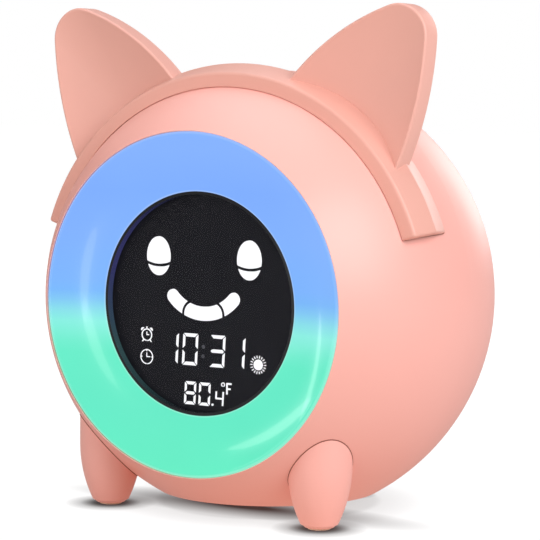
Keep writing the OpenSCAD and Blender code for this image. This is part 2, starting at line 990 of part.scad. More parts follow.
band_inner_r = body_r + slip_gap;
band_round = 0.8;
band_r = on_ball(band_inner_r, band_front) + band_h;
band_crest_r = on_ball(band_inner_r, band_crest) + band_crest_h;
band_a0 = atan2(band_front - ring_setback, on_ball(band_inner_r, band_front));
band_a1 = atan2(band_rear - ring_setback, on_ball(band_inner_r, band_rear));
band_rear_r = on_ball(band_inner_r, band_rear) + 0.5;

module band_profile() {
    polygon(concat(
        arc([0, ring_setback], band_inner_r, band_a1, band_a0, 16),
        arc([band_r - band_round, band_front + band_round], band_round, 270, 345, 5),
        arc([band_crest_r - 1.6, band_crest], 1.6, -15, 22, 5),
        [[band_rear_r, band_rear - 0.2], [band_rear_r - 0.2, band_rear]]));
}

// outer envelope of the band, used to seat the ears on it
module band_solid(grow) {
    rotate_extrude($fn = 240)
        polygon(concat([[0, band_front - grow], [band_r - band_round, band_front - grow]],
            arc([band_r - band_round, band_front + band_round], band_round + grow, 270, 345, 5),
            arc([band_crest_r - 1.6, band_crest], 1.6 + grow, -15, 22, 5),
            [[band_rear_r + grow, band_rear - 0.2], [band_rear_r + grow, band_rear + grow],
            [0, band_rear + grow]]));
}

ear_slot_w = 9;
ear_slot_t = ear_t - ear_dish - 0.4;
ear_slot_z = ear_front + ear_dish + 0.2;
ear_slot_r = on_ball(band_inner_r, ear_slot_z + ear_slot_t) + 0.2;
ear_slot_deep = 1.5;
ear_slot_angle = ear_angle - 2.5;

// the tongue under an ear; g widens it and low starts it further in, for its slot
module ear_tongue(g, low) {
    rotate([0, 0, ear_slot_angle])
        translate([ear_slot_r - low, -ear_slot_w / 2 - g, ear_slot_z - g])
            cube([band_crest_r + 0.6 - ear_slot_r + low, ear_slot_w + 2 * g, ear_slot_t + 2 * g]);
}

module headband() {
    color(deep_pink)
        on_axis()
            difference() {
                union() {
                    rotate([0, 0, 90 - band_half_angle])
                        rotate_extrude(angle = 2 * band_half_angle, $fn = 240)
                            band_profile();
                    band_peg(band_peg_r);
                }
                ear_tongue(fit_gap, ear_slot_deep);
                mirror([1, 0, 0])
                    ear_tongue(fit_gap, ear_slot_deep);
            }
}

// ear outline: two long arcs that meet a round tip
ear_dip = 6.5;
ear_skew = 0.4;
function ear_spot(out, side) = (band_crest_r + out) * [cos(ear_angle), sin(ear_angle)]
    + side * [-sin(ear_angle), cos(ear_angle)];
ear_tip = ear_spot(ear_reach, 0);
ear_in = ear_spot(-ear_dip, ear_half_w - ear_skew);
ear_out = ear_spot(-ear_dip - ear_skew, -ear_half_w - ear_skew);
ear_r1 = 68;
ear_r2 = 98;

// centre of a circle of radius r through p that the tip circle touches from inside
function tangent_centre(p, r, side) =
    let (d = p - ear_tip, n = norm(d), a = r - ear_tip_r, u = d / n,
        x = (n * n + a * a - r * r) / (2 * n), h = sqrt(max(0, a * a - x * x)))
    ear_tip + x * u + side * h * [-u[1], u[0]];

ear_c1 = tangent_centre(ear_in, ear_r1, 1);
ear_c2 = tangent_centre(ear_out, ear_r2, -1);
function heading(p) = atan2(p[1], p[0]);
ear_a1 = heading(ear_tip - ear_c1);
ear_a2 = heading(ear_tip - ear_c2);

function ear_edge(n, m) = concat(
    arc(ear_c1, ear_r1, heading(ear_in - ear_c1), ear_a1, n),
    [for (p = arc(ear_tip, ear_tip_r, ear_a1, ear_a2, m)) p],
    arc(ear_c2, ear_r2, ear_a2, heading(ear_out - ear_c2), n));

ear_rim = 0.55;
ear_base = (ear_in + ear_out) / 2 - [1.5, 2];
ear_pts = ear_edge(18, 16);
ear_root = [ear_out - [12, 10], ear_base - [12, 17], ear_in - [14, 10]];
hollow_pts = concat(ear_pts, ear_root);
ear_rings = 9;

function toward(p, c, t) = c + (p - c) * t;

// hollow of the ear: rings of the outline drawn in toward the base and pushed back
module ear_hollow() {
    n = len(hollow_pts);
    s = [for (p = hollow_pts) 1 - ear_rim / norm(p - ear_base)];
    lid = [for (i = [0 : n - 1]) let (p = toward(hollow_pts[i], ear_base, s[i])) [p[0], p[1], -1]];
    bowl = [for (k = [0 : ear_rings - 1]) let (t = 1 - k / ear_rings)
        for (i = [0 : n - 1])
            let (p = toward(hollow_pts[i], ear_base, s[i] * t)) [p[0], p[1], ear_dish * (1 - t * t)]];
    low = len(lid) + len(bowl);
    pts = concat(lid, bowl, [[ear_base[0], ear_base[1], ear_dish]]);
    lid_face = [for (i = [0 : n - 1]) n - 1 - i];
    walls = [for (k = [0 : ear_rings - 1]) for (i = [0 : n - 1])
        let (j = (i + 1) % n) [[k * n + i, k * n + j, (k + 1) * n + i],
        [(k + 1) * n + i, k * n + j, (k + 1) * n + j]]];
    tip = [for (i = [0 : n - 1]) [ear_rings * n + i, ear_rings * n + (i + 1) % n, low]];
    polyhedron(points = pts, faces = concat([lid_face],
        [for (w = walls) for (f = w) f], tip), convexity = 6);
}

module ear() {
    on_axis() {
        difference() {
            translate([0, 0, ear_front])
                difference() {
                    linear_extrude(ear_t)
                        polygon(concat(ear_pts, [ear_base - [4, 6]]));
                    ear_hollow();
                }
            band_solid(slip_gap);
        }
        ear_tongue(0, 0);
    }
}

module right_ear() {
    color(deep_pink)
        ear();
}

module left_ear() {
    color(deep_pink)
        mirror([1, 0, 0])
            ear();
}

// ---------- inside ----------

module main_board() {
    color(green)
        on_axis()
            difference() {
                translate([0, 0, main_front])
                    block(main_w, main_h, main_t);
                for (sx = [-1, 1])
                    for (sy = [-1, 1])
                        translate([sx * main_post_x, sy * main_post_y, 0])
                            cylinder(r = screw_r + 0.2, h = body_depth);
            }
}

module board_screws() {
    color(steel)
        on_axis() {
            for (sx = [-1, 1])
                for (sy = [-1, 1])
                    translate([sx * main_post_x, sy * main_post_y, main_back])
                        screw(7);
            for (s = [-1, 1])
                translate([s * board_post[0], board_post[1], board_back - board_t])
                    mirror([0, 0, 1])
                        screw(4.2);
        }
}

// parts on the board: [x, y, width, height, thickness]
chips = [[-12, -8, 12, 12, 1.6], [-14, 10, 8, 6, 1.4], [4, -18, 5, 3.4, 1.2],
    [-24, -14, 6, 10, 5], [24, -14, 6, 12, 5.5]];

module board_parts() {
    color("#2a2a2e")
        on_axis() {
            for (c = chips)
                translate([c[0], c[1], main_back])
                    block(c[2], c[3], c[4]);
            for (x = [0, 7, 14])
                translate([x - 26, 0, main_back])
                    cylinder(r = 2.5, h = 6);
        }
}

cell_spot = [14, 7];
cell_r = 10;
cell_t = 3.2;

module coin_cell_holder() {
    color("#3b3b40")
        on_axis()
            translate([cell_spot[0], cell_spot[1], main_back])
                difference() {
                    cylinder(r = cell_r + 1.5, h = cell_t + 1);
                    translate([0, 0, 1])
                        cylinder(r = cell_r + 0.15, h = cell_t + 1);
                    translate([0, cell_r, 1])
                        block(8, 8, cell_t + 1);
                }
}

module coin_cell() {
    color(steel)
        on_axis()
            translate([cell_spot[0], cell_spot[1], main_back + 1.02])
                cylinder(r = cell_r, h = cell_t);
}

pack_w = 31;
pack_h = 12;
pack_l = 17;
tray_z = ring_setback + 2.5;

module battery_tray() {
    color("#d8d8d6")
        on_axis()
            difference() {
                translate([-pack_w / 2 - 1.5, floor_y + 0.02, tray_z])
                    cube([pack_w + 3, 8, pack_l + 3]);
                translate([-pack_w / 2 - 0.2, floor_y + 1.2, tray_z + 1.3])
                    cube([pack_w + 0.4, 8, pack_l + 0.4]);
            }
}

module battery_pack() {
    color("#3f6fa8")
        on_axis()
            translate([-pack_w / 2, floor_y + 1.22, tray_z + 1.5])
                cube([pack_w, pack_h, pack_l]);
}

// ---------- rear panel ----------

module rear_panel() {
    color(pink)
        on_axis()
            difference() {
                union() {
                    translate([0, 0, panel_in])
                        cylinder(r = panel_r, h = panel_t);
                    for (s = [-1, 1]) {
                        translate([s * speaker_lug_x, speaker_y, panel_in - 1.2])
                            cylinder(r = 2.4, h = 1.3);
                        translate([s * board_post[0], board_post[1], board_back])
                            cylinder(r = board_post_r, h = panel_in - board_back + 0.1);
                    }
                }
                for (b = button_spots)
                    translate([b[0], b[1], 0])
                        cylinder(r = button_hole_r, h = big);
                for (i = [-4 : 4])
                    for (j = [-4 : 4])
                        if (norm([i, j]) * sound_pitch < speaker_r - 2.6)
                            translate([i * sound_pitch, speaker_y + j * sound_pitch, 0])
                                cylinder(r = 0.8, h = big, $fn = 24);
                translate([usb_spot[0], usb_spot[1], 0])
                    rounded_slot(usb_w + 0.4, usb_h + 0.4, big);
                translate([power_spot[0], power_spot[1], 0])
                    block(power_knob_w + power_travel + 0.8, power_knob_h + 0.6, big);
                panel_lobes(screw_r + 0.3, 0, big);
                for (s = [-1, 1]) {
                    translate([s * speaker_lug_x, speaker_y, panel_in - 2])
                        cylinder(r = screw_r, h = 3);
                    translate([s * board_post[0], board_post[1], board_back - 1])
                        cylinder(r = screw_r, h = 5);
                }
                for (a = [0, 120, 240])
                    translate([sensor_spot[0], sensor_spot[1], 0])
                        rotate([0, 0, a])
                            translate([1.6, 0, 0])
                                cylinder(r = 0.6, h = big, $fn = 24);
            }
}

module rounded_slot(w, h, t) {
    for (s = [-1, 1])
        translate([s * (w - h) / 2, 0, 0])
            cylinder(d = h, h = t);
    block(w - h, h, t);
}

module panel_screws() {
    color(steel)
        on_axis() {
            for (sx = [-1, 1])
                for (sy = [-1, 1])
                    translate([sx * panel_lobe[0], sy * panel_lobe[1], panel_out])
                        screw(4);
            for (s = [-1, 1])
                translate([s * speaker_lug_x, speaker_y, panel_in - 2.4])
                    mirror([0, 0, 1])
                        screw(2.2);
        }
}

module speaker_frame() {
    color("#4a4a50")
        on_axis()
            translate([0, speaker_y, panel_in])
                rotate_extrude()
                    polygon([[speaker_r, -0.1], [speaker_r, -1.2], [speaker_r - 2, -1.2],
                        [speaker_r - 5, -5.5], [3, -5.5], [3, -4.7], [speaker_r - 5.6, -4.7],
                        [speaker_r - 2.6, -1], [speaker_r - 2.6, -0.1]]);
}

module speaker_cone() {
    color("#232327")
        on_axis()
            translate([0, speaker_y, panel_in])
                rotate_extrude()
                    polygon([[speaker_r - 2.65, -0.4], [speaker_r - 4.6, -0.4], [4, -3.2], [0, -2.6],
                        [0, -3], [4, -3.6], [speaker_r - 4.4, -0.8], [speaker_r - 2.65, -0.8]]);
}

module speaker_magnet() {
    color(steel)
        on_axis()
            translate([0, speaker_y, panel_in - 5.52 - 4])
                cylinder(r = speaker_r - 6, h = 4);
}

module speaker_clamp() {
    color(white)
        on_axis()
            translate([0, 0, panel_in - 2.4])
                difference() {
                    union() {
                        translate([0, speaker_y, 0])
                            cylinder(r = speaker_r + 0.8, h = 1.18);
                        translate([0, speaker_y, 0])
                            rounded_slot(2 * speaker_lug_x + 5, 5, 1.18);
                    }
                    translate([0, speaker_y, -1])
                        cylinder(r = speaker_r - 1.6, h = 4);
                    for (s = [-1, 1])
                        translate([s * speaker_lug_x, speaker_y, -1])
                            cylinder(r = screw_r + 0.2, h = 4);
                }
}

module switch_board() {
    color(green)
        on_axis()
            difference() {
                intersection() {
                    translate([-board_w / 2, board_low, board_back - board_t])
                        cube([board_w, board_high - board_low, board_t - 0.02]);
                    cylinder(r = max(panel_ledge_r, on_ball(inner_r, board_back)) - 0.3, h = body_depth);
                }
                for (s = [-1, 1])
                    translate([s * board_post[0], board_post[1], 0])
                        cylinder(r = screw_r + 0.2, h = body_depth);
            }
}

module push_switches() {
    color("#38383c")
        on_axis()
            for (b = button_spots)
                translate([b[0], b[1], board_back]) {
                    block(switch_w, switch_w, switch_h);
                    cylinder(r = plunger_r, h = switch_h + plunger_h);
                }
}

module usb_jack() {
    color(steel)
        on_axis()
            translate([usb_spot[0], usb_spot[1], board_back])
                difference() {
                    rounded_slot(usb_w, usb_h, panel_out - board_back - 0.2);
                    translate([0, 0, 1])
                        difference() {
                            rounded_slot(usb_w - 0.6, usb_h - 0.6, big);
                            block(6.4, 0.7, panel_out - board_back - 2);
                        }
                }
}

module temperature_sensor() {
    color("#7a4a2a")
        on_axis()
            translate([sensor_spot[0], sensor_spot[1], board_back]) {
                for (s = [-0.6, 0.6])
                    translate([s, 0, 0])
                        cylinder(r = 0.25, h = 2.4, $fn = 16);
                translate([0, 0, 3])
                    sphere(r = 1.2);
            }
}

module power_switch() {
    color("#38383c")
        on_axis()
            translate([power_spot[0], power_spot[1], board_back])
                block(8.6, 4, 3.6);
}

module power_knob() {
    color(white)
        on_axis()
            translate([power_spot[0] - power_travel / 2, power_spot[1], panel_in - 1.4]) {
                block(power_shoe_w, power_shoe_h, 1.1);
                block(power_knob_w, power_knob_h, panel_t + 2.2);
            }
}

// one push button with a raised mark; it travels toward the front
module button(i) {
    b = button_spots[i];
    on_axis()
        translate([b[0], b[1], panel_in]) {
            translate([0, 0, -0.3 - button_flange_t])
                cylinder(r = button_flange_r, h = button_flange_t);
            translate([0, 0, -0.3 - button_flange_t])
                cylinder(r = button_r, h = 0.3 + button_flange_t + panel_t + button_proud - 0.25);
            translate([0, 0, -5.3 + switch_h + plunger_h + button_travel + 0.05])
                cylinder(r = button_stem_r, h = 4.5 - switch_h);
            translate([0, 0, panel_t + button_proud - 0.3])
                linear_extrude(0.3)
                    children();
        }
}

module button_time() {
    color(white)
        button(0) {
            difference() {
                circle(r = 2);
                circle(r = 1.6);
            }
            translate([-0.2, 0])
                square([0.4, 1.3]);
            translate([-0.9, -0.2])
                square([1.1, 0.4]);
        }
}

module button_alarm() {
    color(white)
        button(1) {
            intersection() {
                circle(r = 1.6);
                translate([-2, 0])
                    square([4, 2]);
            }
            translate([-1.6, -1.1])
                square([3.2, 1.12]);
            translate([-2.1, -1.4])
                square([4.2, 0.45]);
            translate([0, -1.9])
                circle(r = 0.4);
        }
}

module button_up() {
    color(white)
        button(2)
            polygon([[-1.8, -1.2], [1.8, -1.2], [0, 1.8]]);
}

module button_down() {
    color(white)
        button(5)
            polygon([[-1.8, 1.2], [1.8, 1.2], [0, -1.8]]);
}

module button_light() {
    color(white)
        button(3) {
            circle(r = 1.05);
            for (a = [0 : 45 : 315])
                rotate(a)
                    translate([1.45, -0.18])
                        square([0.75, 0.36]);
        }
}

module button_sound() {
    color(white)
        button(4) {
            polygon([[1.9, -0.7], [1.1, -0.7], [-0.1, -1.7], [-0.1, 1.7], [1.1, 0.7], [1.9, 0.7]]);
            translate([-1, -0.9])
                square([0.4, 1.8]);
            translate([-1.9, -1.4])
                square([0.4, 2.8]);
        }
}

front_shell();
rear_shell();
light_ring();
ring_reflector();
ring_board();
ring_leds();
reflector_screws();
display_bezel();
display_lens();
display_mask();
eye_windows();
smile_window();
time_digits();
temperature_digits();
status_icons();
unlit_symbols();
light_box();
display_board();
display_leds();
display_screws();
headband();
left_ear();
right_ear();
left_leg();
right_leg();
leg_pads();
leg_screws();
rear_feet();
housing_screws();
main_board();
board_parts();
board_screws();
coin_cell_holder();
coin_cell();
battery_tray();
battery_pack();
touch_plate();
rear_panel();
panel_screws();
speaker_frame();
speaker_cone();
speaker_magnet();
speaker_clamp();
switch_board();
push_switches();
usb_jack();
temperature_sensor();
power_switch();
power_knob();
button_time();
button_alarm();
button_up();
button_down();
button_light();
button_sound();
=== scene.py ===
# %% [markdown]
# # A child's alarm clock with a glowing ring
# The clock is a round pink ball that stands on two stubby legs. A dished ring in its face glows
# blue above and green below, and frames a dark display with a smile, the time and the temperature.
# A band with two cat ears runs over the top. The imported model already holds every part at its
# real place and size, so this lesson only has to give each part its finish, and to remake the few
# parts whose soft shape matters more than their plain solid.

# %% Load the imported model
import math
import bmesh
import bpy
import numpy as np
from mathutils import Matrix, Vector


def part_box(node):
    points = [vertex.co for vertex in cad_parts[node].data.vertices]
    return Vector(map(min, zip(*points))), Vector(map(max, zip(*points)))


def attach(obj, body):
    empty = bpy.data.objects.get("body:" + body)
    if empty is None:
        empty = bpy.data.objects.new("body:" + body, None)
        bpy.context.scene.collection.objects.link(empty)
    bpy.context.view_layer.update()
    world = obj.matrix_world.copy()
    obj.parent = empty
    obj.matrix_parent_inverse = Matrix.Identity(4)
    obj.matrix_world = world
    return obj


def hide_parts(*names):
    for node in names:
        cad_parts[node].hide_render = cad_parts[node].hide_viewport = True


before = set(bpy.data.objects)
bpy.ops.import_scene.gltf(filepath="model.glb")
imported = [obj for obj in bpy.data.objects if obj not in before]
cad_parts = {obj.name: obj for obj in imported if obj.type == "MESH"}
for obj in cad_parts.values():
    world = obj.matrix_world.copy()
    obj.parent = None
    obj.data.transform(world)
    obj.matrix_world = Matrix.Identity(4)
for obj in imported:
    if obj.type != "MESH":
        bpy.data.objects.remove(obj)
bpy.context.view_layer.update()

# %% [markdown]
# ## Sizes
# Every length is in metres, as Blender has it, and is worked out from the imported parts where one
# of them tells it. The ring's axis runs from front to back, so places on the face are given as
# x to the right, y up from the axis, and depth behind the front edge of the ring.

# %% Sizes read from the parts
MM = 0.001
ring_low, ring_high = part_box("light_ring")
shell_low, shell_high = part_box("front_shell")
ring_r = (ring_high.x - ring_low.x) / 2
axis_z = (ring_high.z + ring_low.z) / 2
front_y = ring_low.y
ball_r = (shell_high.x - shell_low.x) / 2
print("ring radius", ring_r, "axis height", axis_z, "ball radius", ball_r)


def on_face(x, y, depth):
    """A place given as seen from the front, as a point of the model."""
    return Vector((x, front_y + depth, axis_z + y))


# %% [markdown]
# ## Two helpers for materials
# Colours are easiest to pick as web colours, which are sRGB. Blender's shaders work with linear
# light, so one function turns a hex code into linear values. A second one adds a node, sets its
# properties and links its inputs, so that each material below reads like a short recipe.

# %% Colour and node helpers
def linear(code):
    """An sRGB hex colour as linear red, green, blue and alpha."""
    parts = [int(code[i:i + 2], 16) / 255 for i in (1, 3, 5)]
    return [c / 12.92 if c <= 0.04045 else ((c + 0.055) / 1.055) ** 2.4 for c in parts] + [1.0]


def add(tree, kind, inputs=None, **settings):
    """Adds one node with its properties, and sets or links the named or numbered inputs.

    A node given as an input's value stands for its first output.
    """
    made = tree.nodes.new(kind)
    for key, value in settings.items():
        setattr(made, key, value)
    for key, value in (inputs or {}).items():
        value = value.outputs[0] if isinstance(value, bpy.types.Node) else value
        if isinstance(value, bpy.types.NodeSocket):
            tree.links.new(value, made.inputs[key])
        else:
            made.inputs[key].default_value = value
    return made


def start_material(name):
    """An empty material, its node tree and the object coordinates in metres."""
    made = bpy.data.materials.new(name)
    made.use_nodes = True
    made.node_tree.nodes.clear()
    place = add(made.node_tree, "ShaderNodeTexCoord").outputs["Object"]
    return made, made.node_tree, place


def end_material(tree, shader):
    add(tree, "ShaderNodeOutputMaterial", {"Surface": shader})


print("a middle grey in linear light:", linear("#808080"))

# %% [markdown]
# ## Moulded plastic
# The ball, band, ears and legs are ABS, moulded in a tool whose face was spark eroded. That
# leaves a fine, even grain which spreads the highlights, so the surface looks satin. The real
# grain is about 0.1 mm, too fine to show, so it is drawn at 0.35 mm and kept very shallow. A slow
# drift in colour and gloss over a few centimetres keeps large faces from looking painted on. The
# buttons' raised marks are inked: whatever lies further back than a given depth takes the ink.

# %% Moulded plastic material
GRAIN, GRAIN_DEPTH, DRIFT = 0.35 * MM, 0.006 * MM, 35 * MM
BUTTON_MARKS, INK, INK_EDGE = 46.72 * MM, "#8f6b60", 0.05 * MM


def moulded(name, colour, deeper, roughness, print_above=None):
    """Moulded plastic with a fine grain and a slow drift; print_above inks its raised marks."""
    made, tree, place = start_material(name)
    drift = add(tree, "ShaderNodeTexNoise", {"Vector": place, "Scale": 1 / DRIFT, "Detail": 2.0})
    tint = add(tree, "ShaderNodeMix", {0: drift, 6: linear(colour), 7: linear(deeper)},
               data_type="RGBA")
    if print_above:
        depth = add(tree, "ShaderNodeSeparateXYZ", {0: place}).outputs["Y"]
        on_top = add(tree, "ShaderNodeMapRange", {"Value": depth, "From Min": print_above,
                     "From Max": print_above + INK_EDGE})
        tint = add(tree, "ShaderNodeMix", {0: on_top, 6: tint.outputs[2], 7: linear(INK)},
                   data_type="RGBA")
    pores = add(tree, "ShaderNodeTexNoise", {"Vector": place, "Scale": 1 / GRAIN, "Detail": 3.0})
    gloss = add(tree, "ShaderNodeMapRange", {"Value": pores, "From Min": 0.3, "From Max": 0.7,
                "To Min": roughness - 0.03, "To Max": roughness + 0.04})
    relief = add(tree, "ShaderNodeBump", {"Height": pores, "Distance": GRAIN_DEPTH})
    end_material(tree, add(tree, "ShaderNodeBsdfPrincipled", {
        "Base Color": tint.outputs[2], "Roughness": gloss, "IOR": 1.53, "Normal": relief}))
    return made


pink_abs = moulded("Satin pink ABS", "#f7b6ab", "#f5b1a6", 0.42)
# The band's coral is deeper than the ball's pink, partly as its own tone and partly as painted
# shade for its dim front face.
band_abs_with_painted_shade = moulded("Satin coral ABS with painted shade", "#e8ac9d", "#e4a798", 0.44)
ear_abs = moulded("Satin light coral ABS", "#ecb2a4", "#e8ad9f", 0.44)
warm_white_abs = moulded("Warm white ABS", "#f1ebe4", "#ece5dd", 0.38, BUTTON_MARKS)
white_abs = moulded("Bright white ABS", "#f2f2ee", "#eaeae6", 0.5)
dark_nylon = moulded("Black nylon", "#232327", "#1c1c20", 0.5)
# Dark brown for the painted shade in the gaps where the legs meet the ball.
painted_gap_shade = moulded("Brown painted gap shade", "#96594a", "#884d3f", 0.8)
print("moulded plastics:", pink_abs.name, band_abs_with_painted_shade.name, warm_white_abs.name, white_abs.name)

# %% [markdown]
# ## The glowing diffuser
# The ring is milky polycarbonate with a polished face. Coloured lamps sit behind it, and the milk
# in the plastic spreads their light so evenly that the ring itself seems to glow. So the colour
# is given off by the surface, and follows the height on the ring: blue in the upper half, a soft
# change over some 8 mm just below the middle, then green. The polish is a clear coat on top.
# Thin bands of painted highlight whiten the glow at the bore and at the rim.

# %% Diffuser material
GLOW_STOPS = [(-44, "#62edc3"), (-30, "#62ebc6"), (-15, "#64edc8"), (-12, "#6eeece"),
              (-9.5, "#7aefd6"), (-6.5, "#84eee0"), (-3.5, "#80dce8"), (-0.5, "#76c2f2"),
              (2, "#6eb2f8"), (5, "#72affc"), (18, "#77acfd"), (30, "#75a9fe"), (41, "#7caeff")]
# Radii in mm where the painted highlights lie, and how far they whiten the glow.
BORE_EDGE, RIM_EDGE = (30.15, 30.5), (45.1, 45.7)
BORE_HIGHLIGHT, RIM_HIGHLIGHT = 0.22, 0.18


def diffuser(name):
    """Colour by height, with a painted highlight that whitens the glow at the bore and the rim."""
    made, tree, place = start_material(name)
    height = add(tree, "ShaderNodeSeparateXYZ", {0: place}).outputs["Z"]
    share = add(tree, "ShaderNodeMapRange", {"Value": height, "From Min": axis_z - ring_r,
                "From Max": axis_z + ring_r})
    glow = add(tree, "ShaderNodeValToRGB", {"Fac": share})
    ramp = glow.color_ramp
    ramp.elements.remove(ramp.elements[1])
    for number, (up, code) in enumerate(GLOW_STOPS):
        position = (up * MM + ring_r) / (2 * ring_r)
        element = ramp.elements[0] if number == 0 else ramp.elements.new(position)
        element.position, element.color = position, linear(code)
    flat = add(tree, "ShaderNodeVectorMath", {0: place, 1: (0.0, 0.0, -axis_z)})
    flat = add(tree, "ShaderNodeVectorMath", {0: flat, 1: (1.0, 0.0, 1.0)}, operation="MULTIPLY")
    radius = add(tree, "ShaderNodeVectorMath", {0: flat}, operation="LENGTH")
    # Painted highlight: near the bore and near the rim the glow is mixed towards white.
    bore = add(tree, "ShaderNodeMapRange", {
        "Value": radius.outputs["Value"], "From Min": BORE_EDGE[0] * MM,
        "From Max": BORE_EDGE[1] * MM, "To Min": BORE_HIGHLIGHT, "To Max": 0.0})
    rim = add(tree, "ShaderNodeMapRange", {
        "Value": radius.outputs["Value"], "From Min": RIM_EDGE[0] * MM,
        "From Max": RIM_EDGE[1] * MM, "To Min": 0.0, "To Max": RIM_HIGHLIGHT})
    edge = add(tree, "ShaderNodeMath", {0: bore, 1: rim})
    light = add(tree, "ShaderNodeMix", {0: edge, 6: glow, 7: linear("#f4ffff")},
                data_type="RGBA")
    haze = add(tree, "ShaderNodeTexNoise", {"Vector": place, "Scale": 1 / (18 * MM), "Detail": 1.0})
    evenness = add(tree, "ShaderNodeMapRange", {"Value": haze, "To Min": 0.85, "To Max": 0.91})
    body = add(tree, "ShaderNodeMix", {0: 0.85, 6: glow, 7: linear("#202428")},
               data_type="RGBA")
    end_material(tree, add(tree, "ShaderNodeBsdfPrincipled", {
        "Base Color": body.outputs[2], "Roughness": 0.18, "IOR": 1.58,
        "Emission Color": light.outputs[2], "Emission Strength": evenness,
        "Coat Weight": 0.6, "Coat Roughness": 0.05}))
    return made


glowing_ring = diffuser("Milky polycarbonate lit from behind")
print("colour stops along the ring:", len(GLOW_STOPS))

# %% [markdown]
# ## The display's rim
# The wall between the ring and the window is polished black plastic. On its left side, which
# faces right, it carries a painted reflection of the ring's colours, which fades with depth.

# %% Bezel material
BEZEL_REFLECTION_TURN, BEZEL_REFLECTION_FADE = (-12, 8), (7.0, 11.0)


def bezel_with_painted_reflection(name):
    """Polished black wall with a painted reflection of the ring's light on its left side."""
    made, tree, place = start_material(name)
    parts = add(tree, "ShaderNodeSeparateXYZ", {0: place}).outputs
    # The painted reflection: teal below and blue above the middle, fading towards the back.
    upper = add(tree, "ShaderNodeMapRange", {
        "Value": parts["Z"], "From Min": axis_z + BEZEL_REFLECTION_TURN[0] * MM,
        "From Max": axis_z + BEZEL_REFLECTION_TURN[1] * MM})
    tint = add(tree, "ShaderNodeMix", {0: upper, 6: linear("#2c4648"), 7: linear("#2f305e")},
               data_type="RGBA").outputs[2]
    fade = add(tree, "ShaderNodeMapRange", {
        "Value": parts["Y"], "From Min": front_y + BEZEL_REFLECTION_FADE[0] * MM,
        "From Max": front_y + BEZEL_REFLECTION_FADE[1] * MM, "To Min": 1.0, "To Max": 0.0})
    normal = add(tree, "ShaderNodeNewGeometry").outputs["Normal"]
    facing = add(tree, "ShaderNodeSeparateXYZ", {0: normal}).outputs["X"]
    side = add(tree, "ShaderNodeMapRange", {"Value": facing, "From Min": 0.2, "From Max": 0.9})
    fade = add(tree, "ShaderNodeMath", {0: fade, 1: side}, operation="MULTIPLY")
    pores = add(tree, "ShaderNodeTexNoise", {"Vector": place, "Scale": 1 / (0.5 * MM)})
    gloss = add(tree, "ShaderNodeMapRange", {"Value": pores, "To Min": 0.14, "To Max": 0.2})
    end_material(tree, add(tree, "ShaderNodeBsdfPrincipled", {
        "Base Color": linear("#101014"), "Roughness": gloss, "IOR": 1.53,
        "Emission Color": tint, "Emission Strength": fade}))
    return made


bezel_painted_reflection = bezel_with_painted_reflection("Black polished ABS with painted reflection")
print("made:", bezel_painted_reflection.name)

# %% [markdown]
# ## The display
# A thin smoked acrylic window lies over a black printed film. Small shapes left clear in the film
# are lit from behind, so they read as crisp white signs in deep black. The window is real
# see-through plastic here. Its index is kept low, so that it mirrors little of the white floor.

# %% Window material
def smoked_acrylic(name):
    """Clear window with a trace of haze in its polish."""
    made, tree, place = start_material(name)
    haze = add(tree, "ShaderNodeTexNoise", {"Vector": place, "Scale": 1 / (12 * MM), "Detail": 2.0})
    polish = add(tree, "ShaderNodeMapRange", {"Value": haze, "To Min": 0.01, "To Max": 0.03})
    end_material(tree, add(tree, "ShaderNodeBsdfPrincipled", {
        "Base Color": linear("#f2f2f5"), "Roughness": polish, "IOR": 1.12,
        "Transmission Weight": 1.0}))
    return made


smoked_window = smoked_acrylic("Smoked acrylic window")
print("made:", smoked_window.name)

# %% Film materials
def lit_film(name, colour, strength):
    """Clear film with light behind it, a little uneven."""
    made, tree, place = start_material(name)
    haze = add(tree, "ShaderNodeTexNoise", {"Vector": place, "Scale": 1 / (3 * MM), "Detail": 1.0})
    level = add(tree, "ShaderNodeMapRange", {"Value": haze, "To Min": 0.96 * strength,
                "To Max": 1.04 * strength})
    end_material(tree, add(tree, "ShaderNodeBsdfPrincipled", {
        "Base Color": linear("#3c3c40"), "Roughness": 0.6, "Emission Color": linear(colour),
        "Emission Strength": level}))
    return made


white_signs = lit_film("Clear film lit white", "#ffffff", 1.14)
dark_signs = lit_film("Clear film unlit", "#4a4f60", 0.12)


def printed_film(name, colour, deeper):
    """Matt black ink on a film; a trace of the lamps' light comes through it evenly."""
    made, tree, place = start_material(name)
    ink = add(tree, "ShaderNodeTexNoise", {"Vector": place, "Scale": 1 / (12 * MM), "Detail": 1.0})
    tint = add(tree, "ShaderNodeMix", {0: ink, 6: linear(colour), 7: linear(deeper)},
               data_type="RGBA")
    end_material(tree, add(tree, "ShaderNodeBsdfPrincipled", {
        "Base Color": linear("#09090b"), "Roughness": 0.7, "IOR": 1.53, "Specular IOR Level": 0.1,
        "Emission Color": tint.outputs[2], "Emission Strength": 1.0}))
    return made


black_film = printed_film("Black printed film", "#131317", "#101014")
print("films:", white_signs.name, dark_signs.name, black_film.name)

# %% [markdown]
# ## Parts inside and small hardware
# Circuit boards are glass-epoxy under a green or white lacquer, with faint copper areas showing
# through it. Screws are bright zinc-plated steel, whose rolled grain shows as fine streaks. Feet
# are soft thermoplastic rubber, and the battery is wrapped in blue shrink film.

